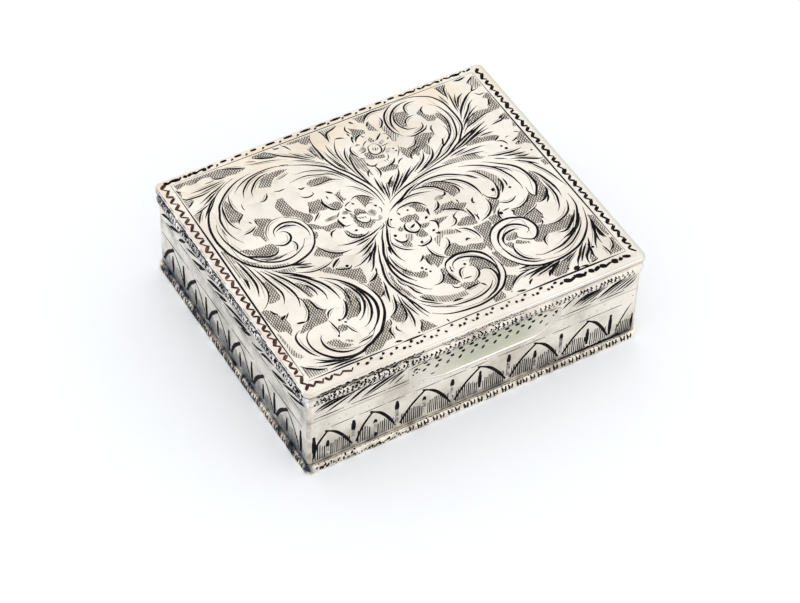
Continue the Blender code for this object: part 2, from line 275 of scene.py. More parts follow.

# %% [markdown]
# ## The finishes one by one
# Each row names a finish and gives its clean colour, its second colour (tarnish, or painted
# shade), how early the second colour starts, its range of gloss, how fine its patches are and its
# stains. The left side of the box looks away from the light, so its wall and rim have darker,
# cooler copies of their finishes, which are painted shade. What fills the cuts is dirt and not
# metal, so the three finishes of the cuts lose their metallic shine.

# %% Finishes
FINISHES = [silver_finish(*row) for row in (
    ("bright_silver", (0.86, 0.815, 0.75), (0.72, 0.655, 0.575), 0.42, (0.26, 0.38), 60, ON_TOP),
    ("cut_black", (0.008, 0.007, 0.008), (0.035, 0.03, 0.025), 0.48, (0.42, 0.6), 700),
    ("shaded_ground", (0.62, 0.575, 0.52), (0.10, 0.085, 0.075), 0.42, (0.36, 0.5), 900),
    ("inner_silver", (0.80, 0.78, 0.74), (0.70, 0.65, 0.56), 0.5, (0.3, 0.42)),
    ("cut_brown", (0.045, 0.027, 0.022), (0.22, 0.135, 0.105), 0.46, (0.42, 0.6), 900),
    ("wall_silver", (0.92, 0.86, 0.765), (0.62, 0.56, 0.475), 0.42, (0.26, 0.4), 190, ON_WALL),
    # The left wall's copy of the wall finish, cooler and darker: painted shade.
    ("cool_silver", (0.86, 0.81, 0.74), (0.44, 0.42, 0.385), 0.42, (0.28, 0.42), 240, ON_SHADED_LEFT_WALL),
    ("rim_silver", (0.93, 0.87, 0.78), (0.34, 0.305, 0.27), 0.46, (0.3, 0.5), 210, ON_RIM),
    # The left side's copy of the rim finish, whose blue-black patches are painted shade.
    ("cool_rim", (0.97, 0.95, 0.92), (0.01, 0.02, 0.04), 0.42, (0.3, 0.5), 330),
    ("foot_silver", (0.94, 0.88, 0.78), (0.26, 0.20, 0.14), 0.46, (0.3, 0.48), 420, ON_FOOT),
    ("thumb_silver", (0.535, 0.53, 0.425), (0.48, 0.49, 0.40), 0.45, (0.22, 0.36), 190, ON_THUMB),
    ("fine_cut", (0.05, 0.044, 0.038), (0.16, 0.135, 0.11), 0.45, (0.42, 0.6), 900),
    ("hatched_ground", (0.74, 0.69, 0.62), (0.36, 0.32, 0.28), 0.42, (0.34, 0.46), 600),
    ("worn_cut", (0.78, 0.73, 0.66), (0.03, 0.028, 0.028), 0.42, (0.4, 0.6), 1300, ON_RUSHES),
    # A thin near-white line on rounded edges: a painted highlight.
    ("rubbed_edge", (0.98, 0.95, 0.90), (0.90, 0.86, 0.80), 0.5, (0.2, 0.3)),
    # The walls' rounded corners, darker than the walls: painted shade.
    ("corner_silver", (0.80, 0.73, 0.64), (0.30, 0.25, 0.21), 0.42, (0.34, 0.46), 330),
    ("joint_silver", (0.74, 0.72, 0.68), (0.50, 0.44, 0.36), 0.45, (0.3, 0.45), 400),
    ("pin_wire", (0.70, 0.69, 0.67), (0.50, 0.45, 0.38), 0.45, (0.25, 0.4), 400),
)]
FACE_FINISHES, (joint_silver, pin_wire) = FINISHES[:-2], FINISHES[-2:]
(BRIGHT, CUT, SHADE, INSIDE, BROWN, WALL, SHADED_LEFT_WALL, RIM, SHADED_LEFT_RIM, FOOT, THUMB, FINE,
 HATCHED, WORN, PAINTED_HIGHLIGHT, SHADED_CORNER) = range(len(FACE_FINISHES))
for dirt in (CUT, BROWN, FINE):
    shader = FACE_FINISHES[dirt].node_tree.nodes["Principled BSDF"]
    shader.inputs["Metallic"].default_value = 0.0
    shader.inputs["Specular IOR Level"].default_value = 0.03
print("finishes", [metal.name for metal in FINISHES])

# %% [markdown]
# ## How a graver's cut becomes a mesh
# A graver ploughs a groove with a V section that starts as a point, swells and fades out. Here a
# cut is a curve through a few points with a width that swells in the same way. All the cuts of one
# face are laid flat, and Blender's constrained Delaunay routine knits them into one skin of
# triangles that follows every edge. The bottoms of the grooves are then pushed in. Real grooves
# catch the light from any side, which a painted line wouldn't.

# %% Curves from an engraver's points
CURVE_STEP = 0.42
CUT_TAPER = 0.3
FINE_TIP, BLUNT_TIP, ROUND_TIP = 0.14, 0.6, 0.85


def engraver_lines(text):
    """Splits a drawing into its strokes: [first word, [(x, y), ...]]. A comma runs on to the next line."""
    lines = []
    for stroke in text.replace(",\n", ", ").replace("\n", ";").split(";"):
        words = stroke.split(None, 1)
        if words:
            lines.append((words[0], [tuple(map(float, p.split())) for p in words[1].split(",")]))
    return lines


def smooth_run(points):
    """Points every CURVE_STEP along a smooth curve through the given points."""
    if len(points) < 3:
        count = max(2, round(math.dist(points[0], points[-1]) / CURVE_STEP))
        ends = [Vector(p) for p in (points[0], points[-1])]
        return [ends[0].lerp(ends[1], i / count) for i in range(count + 1)]
    spots = [Vector(p) for p in points]
    spots = [2 * spots[0] - spots[1]] + spots + [2 * spots[-1] - spots[-2]]
    run = [spots[1]]
    for before, a, b, after in zip(spots, spots[1:], spots[2:], spots[3:]):
        count = max(1, round((b - a).length / CURVE_STEP))
        for i in range(1, count + 1):
            t = i / count
            run.append(0.5 * (2 * a + (b - before) * t + (2 * before - 5 * a + 4 * b - after) * t * t
                              + (3 * a - before - 3 * b + after) * t ** 3))
    return run


def swelling(share, tip):
    """Half-width of a cut along its length, from its tip to its full width and back."""
    return max(tip, min(1.0, share / CUT_TAPER, (1 - share) / CUT_TAPER)) ** 0.7


print("a test curve has", len(smooth_run([(0, 0), (3, 1), (6, 0)])), "points")

# %% [markdown]
# ## The drawing of one face
# The marks of one face are gathered on a flat sheet, in millimetres. A mark leaves its outline,
# whose lines become edges of the skin, and its groove, which says how deep the skin goes. The
# grooves are filed by small squares of the sheet, so that a spot only asks the ones near it.

# %% The drawing of one face
SMALLEST_MARK = 0.004
CELL = 0.8


def new_drawing(outline, folds=()):
    """A flat drawing in millimetres inside an outline, which may have folds across it."""
    count = len(outline)
    drawing = {"points": list(outline), "edges": [], "shapes": [list(range(count))], "kinds": [None],
               "grooves": {}, "low": Vector(map(min, zip(*outline))), "high": Vector(map(max, zip(*outline)))}
    for a, b in folds:
        drawing["edges"].append((len(drawing["points"]), len(drawing["points"]) + 1))
        drawing["points"] += [a, b]
    return drawing


def kept_inside(drawing, spot, margin=0.03):
    return Vector(min(max(s, lo + margin), hi - margin)
                  for s, lo, hi in zip(spot, drawing["low"], drawing["high"]))


def add_shape(drawing, ring, kind):
    ring = [kept_inside(drawing, p) for p in ring]
    turn = sum(a.x * b.y - b.x * a.y for a, b in zip(ring, ring[1:] + ring[:1]))
    if abs(turn) < SMALLEST_MARK:
        return
    start = len(drawing["points"])
    drawing["points"] += ring if turn > 0 else ring[::-1]
    drawing["shapes"].append(list(range(start, start + len(ring))))
    drawing["kinds"].append(kind)


def add_groove(drawing, a, b, half_a, half_b, slope):
    """Remembers a stretch of groove by the squares of the drawing that it passes through."""
    reach = max(half_a, half_b)
    low = [int((min(p, q) - reach) // CELL) for p, q in zip(a, b)]
    high = [int((max(p, q) + reach) // CELL) for p, q in zip(a, b)]
    for i in range(low[0], high[0] + 1):
        for j in range(low[1], high[1] + 1):
            drawing["grooves"].setdefault((i, j), []).append((a, b, half_a, half_b, slope))


print("grooves are filed by squares of", CELL, "mm")

# %% Cuts and dents
SLOPE = 0.42
PECK_SIDES = 8


def add_cut(drawing, points, width, tip=FINE_TIP, slope=SLOPE, kind=CUT):
    """One push of the graver, or a round peck where there is a single point."""
    half = width / 2
    points = [tuple(kept_inside(drawing, Vector(p), half + 0.05)) for p in points]
    if len(points) == 1:
        middle = Vector(points[0])
        turns = [2 * math.pi * i / PECK_SIDES for i in range(PECK_SIDES)]
        add_shape(drawing, [middle + half * Vector((math.cos(t), math.sin(t))) for t in turns], kind)
        drawing["points"].append(middle)
        add_groove(drawing, middle, middle, half, half, slope)
        return
    run = smooth_run(points)
    last = len(run) - 1
    halves = [half * swelling(i / last, tip) for i in range(last + 1)]
    sides = []
    for i, spot in enumerate(run):
        along = (run[min(i + 1, last)] - run[max(i - 1, 0)]).normalized()
        sides.append(halves[i] * Vector((-along.y, along.x)))
    left = [p + s for p, s in zip(run, sides)]
    right = [p - s for p, s in zip(run, sides)]
    add_shape(drawing, right + left[::-1], kind)
    start = len(drawing["points"])
    drawing["points"] += run
    drawing["edges"] += [(start + i, start + i + 1) for i in range(last)]
    for i in range(last):
        add_groove(drawing, run[i], run[i + 1], halves[i], halves[i + 1], slope)


HAIR_START, HAIR_END, HAIR_LEAST, HAIR_GAP, HAIR_WIDTH = 0.2, 0.8, 2.6, 0.24, 0.11


def add_hair_line(drawing, points, width):
    """A faint line in the hollow side of a long cut, with which the engraver shades a leaf."""
    run = smooth_run(points)
    first, last = int(HAIR_START * len(run)), int(HAIR_END * len(run))
    if math.dist(run[0], run[-1]) < HAIR_LEAST or last - first < 4:
        return
    chord, bend = run[-1] - run[0], run[len(run) // 2] - run[0]
    turn = 1 if chord.x * bend.y - chord.y * bend.x < 0 else -1
    hair = []
    for i in sorted({first, (first + last) // 2, last}):
        along = (run[i + 1] - run[i - 1]).normalized()
        hair.append(run[i] + turn * (width / 2 + HAIR_GAP) * Vector((-along.y, along.x)))
    add_cut(drawing, hair, HAIR_WIDTH, kind=FINE)


def add_cuts(drawing, text, wider=1.0, shaded=False):
    for width, points in engraver_lines(text):
        add_cut(drawing, points, float(width) * wider)
        if shaded:
            add_hair_line(drawing, points, float(width) * wider)


def strike(drawing, dice, row, lean, size, kind=CUT):
    """Dents struck along a strip, no two alike. row is start, end, low, high and pitch."""
    u, end, low, high, pitch = row
    u, end = max(u, drawing["low"].x + size), min(end, drawing["high"].x - size)
    while u < end:
        turn = math.radians(lean + dice.uniform(-30, 30))
        spot = Vector((u, dice.uniform(low, high)))
        tip = spot + size * dice.uniform(0.4, 1.0) * Vector((math.cos(turn), math.sin(turn)))
        add_cut(drawing, [spot, tip], size * dice.uniform(0.35, 0.75), tip=BLUNT_TIP, kind=kind)
        u += pitch * dice.uniform(0.6, 1.4)


print("a groove is", SLOPE / 2, "mm deep for each mm of its width")

# %% [markdown]
# ## Shaded grounds
# An engraver darkens a hollow with fine parallel lines. They are laid over the outline of the
# hollow at one pitch, and each is clipped where it crosses that outline.

# %% Hatched grounds
HATCH_PITCH = 0.43
HATCH_WIDTH = 0.14
HATCH_WAYS = {"/": (58,), "|": (90,), "-": (0,), "x": (45, 98), ".": ()}
HATCH_TIP, HATCH_POINT = 0.15, 0.01
SHORTEST_HATCH, HATCH_MARGIN = 0.25, 0.04
OFF_CORNERS = 0.011
HATCH_SLOPE = 1.2 * SLOPE


def crossings(ring, along, across, offset):
    """Where the line at that offset crosses the outline, as distances along it."""
    found = []
    for a, b in zip(ring, ring[1:] + ring[:1]):
        over_a, over_b = a.dot(across) - offset, b.dot(across) - offset
        if (over_a > 0) != (over_b > 0):
            found.append(a.lerp(b, over_a / (over_a - over_b)).dot(along))
    return sorted(found)


def add_ground(drawing, ring, way):
    """A shaded patch: its outline is one shape, and its lines are narrow cuts."""
    ring = [Vector(p) for p in ring]
    add_shape(drawing, ring, HATCHED if HATCH_WAYS[way] else SHADE)
    for angle in HATCH_WAYS[way]:
        along = Vector((math.cos(math.radians(angle)), math.sin(math.radians(angle))))
        across = Vector((-along.y, along.x))
        offsets = [p.dot(across) for p in ring]
        offset = math.ceil(min(offsets) / HATCH_PITCH) * HATCH_PITCH + OFF_CORNERS
        while offset < max(offsets):
            stops = crossings(ring, along, across, offset)
            for start, end in zip(stops[::2], stops[1::2]):
                if end - start > SHORTEST_HATCH:
                    stretch = (start + HATCH_MARGIN, end - HATCH_MARGIN)
                    a, b = (along * s + across * offset for s in stretch)
                    add_hatch_line(drawing, kept_inside(drawing, a), kept_inside(drawing, b))
            offset += HATCH_PITCH


def add_hatch_line(drawing, a, b, width=HATCH_WIDTH, kind=FINE):
    """A shallow straight cut with pointed ends."""
    along = (b - a).normalized()
    side = Vector((-along.y, along.x)) * width / 2
    tip = min(HATCH_TIP, (b - a).length / 3)
    c, d = a + along * tip, b - along * tip
    add_shape(drawing, [a, c - side, d - side, b, d + side, c + side], kind)
    start = len(drawing["points"])
    drawing["points"] += [a, c, d, b]
    drawing["edges"] += [(start, start + 1), (start + 1, start + 2), (start + 2, start + 3)]
    halves = (HATCH_POINT, width / 2, width / 2, HATCH_POINT)
    for p, q, half_p, half_q in zip((a, c, d), (c, d, b), halves, halves[1:]):
        add_groove(drawing, p, q, half_p, half_q, HATCH_SLOPE)


def add_grounds(drawing, text):
    for way, ring in engraver_lines(text):
        add_ground(drawing, ring, way)


print("hatch lines", HATCH_PITCH, "mm apart, with the angles", HATCH_WAYS)

# %% [markdown]
# ## From a drawing to a skin
# The Delaunay routine returns triangles that keep every edge of the drawing. Those inside the
# face's outline make its skin, and each takes the finish of the uppermost mark that it lies in.

# %% Knitting the drawing into a skin
def lies_within(ring, x, y):
    """Whether a spot lies inside an outline: a line from it crosses the outline an odd number of times."""
    inside = False
    for (ax, ay), (bx, by) in zip(ring, ring[1:] + ring[:1]):
        if (ay > y) != (by > y) and x < ax + (y - ay) / (by - ay) * (bx - ax):
            inside = not inside
    return inside


def groove_depth(drawing, spot):
    """How deep the skin is cut at a spot of the drawing, in millimetres."""
    deepest = 0.0
    for a, b, half_a, half_b, slope in drawing["grooves"].get((int(spot.x // CELL), int(spot.y // CELL)), ()):
        run = b - a
        share = min(max((spot - a).dot(run) / run.length_squared, 0), 1) if run.length_squared else 0
        half = half_a + (half_b - half_a) * share
        deepest = max(deepest, slope * (half - (a + run * share - spot).length))
    return deepest


UPPERMOST_FIRST = (PAINTED_HIGHLIGHT, WORN, BROWN, CUT, FINE, SHADE, HATCHED)
WELD = 0.0015


def knit(drawing):
    """The triangles of the drawing: (points, faces, kind of each face, source of each point)."""
    points, _, faces, sources, _, owners = delaunay_2d_cdt(
        drawing["points"], drawing["edges"], drawing["shapes"], 0, WELD)
    rings = [[drawing["points"][i] for i in shape] for shape in drawing["shapes"]]
    reach = [(*map(min, zip(*ring)), *map(max, zip(*ring))) for ring in rings]
    skin, kinds = [], []
    for face, owner in zip(faces, owners):
        x, y = (points[face[0]] + points[face[1]] + points[face[2]]) / 3
        if 0 in owner or lies_within(rings[0], x, y):
            found = {drawing["kinds"][i] for i in owner
                     if reach[i][0] < x < reach[i][2] and reach[i][1] < y < reach[i][3]}
            skin.append(face)
            kinds.append(next((kind for kind in UPPERMOST_FIRST if kind in found), BRIGHT))
    return points, skin, kinds, sources


trial = new_drawing([Vector(corner) for corner in ((0, 0), (10, 0), (10, 5), (0, 5))])
add_cut(trial, [(1, 1), (5, 3), (9, 4)], 0.5)
print("one cut across a small plate makes", len(knit(trial)[1]), "triangles")

# %% [markdown]
# ## Working a drawing into a solid
# An engraved piece is a merged copy of its CAD solid. The faces of one side are taken out, and the
# skin is sewn in along the same border, so that the solid stays closed. Where the skin has a point
# between two corners of the border, the old edge is split there, and no seam opens.

# %% Copies and borders
MERGE = 1e-6


def solid_copy(node):
    """A merged copy of a CAD node's mesh. The node itself is left alone."""
    bm = bmesh.new()
    bm.from_mesh(frame["nodes"][node].data)
    bmesh.ops.remove_doubles(bm, verts=bm.verts, dist=MERGE)
    for layer in list(bm.loops.layers.uv):
        bm.loops.layers.uv.remove(layer)
    return bm


def outline_walk(patch):
    """The corners round a patch of faces, in order."""
    inside = set(patch)
    after = {}
    for face in patch:
        for loop in face.loops:
            if all(f is face or f not in inside for f in loop.edge.link_faces):
                after[loop.vert] = loop.link_loop_next.vert
    walk = [min(after, key=lambda vert: tuple(vert.co))]
    while after[walk[-1]] is not walk[0]:
        walk.append(after[walk[-1]])
    return walk


def edge_walk(skin, start):
    """The points round the skin, in order: they lie on edges that only one triangle has."""
    steps = {(face[i - 1], face[i]) for face in skin for i in range(3)}
    after = {a: b for a, b in steps if (b, a) not in steps}
    walk = [start]
    while after[walk[-1]] != start:
        walk.append(after[walk[-1]])
    return walk


merged = solid_copy("thumbpiece")
print("the thumbpiece has", len(merged.verts), "corners when its doubles are merged")
merged.free()


# %% Engraving a side
SMALLEST_FOLD = 0.004
LEVEL_SLACK = 0.01 * MM


def engrave(bm, patch, across, up, draw, bare=BRIGHT):
    """Swaps a patch of faces for an engraved skin. draw adds the marks to the flat drawing."""
    def flat(co):
        return Vector((co.dot(across), co.dot(up))) / MM

    inside = set(patch)
    out = across.cross(up)
    walk = outline_walk(patch)
    folds = [e for e in bm.edges
             if all(f in inside for f in e.link_faces) and e.calc_face_angle(0) > SMALLEST_FOLD]
    drawing = new_drawing([flat(v.co) for v in walk], [[flat(v.co) for v in e.verts] for e in folds])
    draw(drawing)
    corners = list(dict.fromkeys(v for f in patch for v in f.verts))
    index = {v: i for i, v in enumerate(corners)}
    old_skin = BVHTree.FromPolygons([v.co.copy() for v in corners],
                                    [[index[v] for v in f.verts] for f in patch])
    points, skin, kinds, sources = knit(drawing)
    far = max(v.co.dot(out) for v in corners) + MM
    made = {i: walk[min(source)] for i, source in enumerate(sources) if source and min(source) < len(walk)}
    bmesh.ops.delete(bm, geom=patch, context="FACES_KEEP_BOUNDARY")
    border = edge_walk(skin, next(i for i, vert in made.items() if vert is walk[0]))
    for place, i in enumerate(border):
        if i not in made:
            before = made[border[place - 1]]
            after = next(made[j] for j in border[place:] + border[:1] if j in made)
            share = (points[i] - flat(before.co)).length / (flat(after.co) - flat(before.co)).length
            made[i] = bmesh.utils.edge_split(bm.edges.get((before, after)), before, share)[1]
    for i, point in enumerate(points):
        if i in made:
            continue
        top = (across * point.x + up * point.y) * MM + out * far
        spot, normal = old_skin.ray_cast(top, -out)[:2]
        if spot is None:
            spot, normal = old_skin.find_nearest(top - out * MM)[:2]
        made[i] = bm.verts.new(spot - normal * groove_depth(drawing, point) * MM)
    for face, kind in zip(skin, kinds):
        corners = [made[i] for i in face]
        if len(set(corners)) == 3:
            bm.faces.new(corners).material_index = bare if kind == BRIGHT else kind
    return len(skin)


def flat_patch(bm, out, level):
    """The faces that look straight along out and lie at that level."""
    return [f for f in bm.faces if f.normal.dot(out) > 0.9999
            and abs(f.calc_center_median().dot(out) - level) < LEVEL_SLACK]


def straight_run(bm, across, out):
    """The faces of a moulding along one side: they look outward and don't turn a corner."""
    return [f for f in bm.faces if f.normal.dot(out) > 0.15 and abs(f.normal.dot(across)) < 0.005
            and f.calc_center_median().dot(out) > 0]


def engrave_sides(bm, draw, shaded_left, warm, high=None):
    """Engraves the four sides of a moulding, or of a wall whose outer faces reach as far as high."""
    for side, across in SIDES.items():
        out = across.cross(Z)
        if high is None:
            faces = straight_run(bm, across, out)
        else:
            faces = flat_patch(bm, out, high.x if side in ("left", "right") else high.y)
        # The side that looks left takes its painted-shade finish.
        engrave(bm, faces, across, Z, lambda drawing: draw(drawing, side),
                bare=shaded_left if side == "left" else warm)


X, Y, Z = (Vector(axis) for axis in ((1, 0, 0), (0, 1, 0), (0, 0, 1)))
SIDES = {"front": X, "left": -Y, "right": Y, "back": -X}
print("sides", list(SIDES))

# %% [markdown]
# ## A place in the picture for every side
# A finish that is made of nodes has to be baked into a picture before other programs can show it.
# Each side of a piece is a tile of that picture, and the tiles stand in rows as on shelves, the
# tallest first. What looks inward or down gets a smaller tile.

# %% Places in the picture
PLAIN_WORTH, PICTURE_GAP = 0.25, 0.6 * MM


def lay_on_picture(bm):
    """Gives every side of a piece its own place in the picture that its finish can be baked into."""
    sides = {}
    for face in bm.faces:
        axis = max(range(3), key=lambda i: abs(face.normal[i]))
        ahead, there = face.normal[axis] > 0, face.calc_center_median()[axis] > 0
        worth = PLAIN_WORTH if (ahead != there if axis < 2 else not ahead) else 1.0
        sides.setdefault((axis, ahead, there if axis < 2 else True, worth), []).append(face)
    tiles = []
    for (axis, ahead, there, worth), faces in sides.items():
        right, up = ((1, 2), (0, 2), (0, 1))[axis]
        spots = [loop.vert.co for face in faces for loop in face.loops]
        low = [min(spot[i] for spot in spots) for i in (right, up)]
        size = [max(spot[i] for spot in spots) - start for i, start in zip((right, up), low)]
        tiles.append((size[1] * worth, size[0] * worth, worth, right, up, low, faces))
    tiles.sort(key=lambda tile: tile[:2], reverse=True)
    widest = max(tile[1] for tile in tiles) + 2 * PICTURE_GAP
    width = widest
    while shelves(tiles, width)[1] > width:
        width += 0.03 * widest
    layer = bm.loops.layers.uv.new("OFBake")
    for (x, y), (_, _, worth, right, up, low, faces) in zip(shelves(tiles, width)[0], tiles):
        for face in faces:
            for loop in face.loops:
                spot = loop.vert.co
                loop[layer].uv = ((x + (spot[right] - low[0]) * worth) / width,
                                  (y + (spot[up] - low[1]) * worth) / width)


def shelves(tiles, width):
    """Stands the tiles in rows of that width: where each one stands, and how high it all gets."""
    places, x, y, row = [], PICTURE_GAP, PICTURE_GAP, 0.0
    for height, length, *_ in tiles:
        if x + length + PICTURE_GAP > width:
            x, y, row = PICTURE_GAP, y + row + PICTURE_GAP, 0.0
        places.append((x, y))
        x += length + PICTURE_GAP
        row = max(row, height)
    return places, y + row + PICTURE_GAP


TWO_TILES = [(20 * MM, 30 * MM), (10 * MM, 10 * MM)]
for x, y in shelves(TWO_TILES, 60 * MM)[0]:
    print("a tile stands at", round(x / MM, 1), round(y / MM, 1), "mm")

# %% [markdown]
# ## Hanging a piece in the scene
# A worked bmesh becomes an object that rides on the lid or on the base and takes the place of its
# CAD solid. It is shaded smooth, but its sharp folds and the borders of every finish stay crisp.

# %% Hanging a piece
CREASE = math.radians(27)


def hang_piece(name, bm, body, slot_name, *nodes):
    """Makes the bmesh a piece of the scene that rides on its body."""
    bm.normal_update()
    open_edges = sum(len(edge.link_faces) != 2 for edge in bm.edges)
    lay_on_picture(bm)
    for edge in bm.edges:
        kinds = {face.material_index for face in edge.link_faces}
        edge.smooth = len(kinds) == 1 and edge.calc_face_angle(math.pi) < CREASE
    for face in bm.faces:
        face.smooth = True
    mesh = bpy.data.meshes.new(name)
    bm.to_mesh(mesh)
    bm.free()
    for finish in FACE_FINISHES:
        mesh.materials.append(finish)
    piece = bpy.data.objects.new(name, mesh)
    bpy.context.scene.collection.objects.link(piece)
    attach(piece, body)
    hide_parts(*nodes)
    print(name, sum(len(p.vertices) - 2 for p in mesh.polygons), "triangles,", open_edges, "open edges")


print("edges stay sharp from", round(math.degrees(CREASE)), "degrees")

# %% [markdown]
# ## The scrollwork on the lid
# The lid carries leafy scrolls that spring from one point, three small flowers and a fan in each
# corner. A graver cuts each line in one push, so a line here is its greatest width and a few
# points that it runs through, all in millimetres from the middle of the lid, x to the right and
# y to the hinge. A point alone is a round peck. The lid is drawn in four bands, hinge side first.

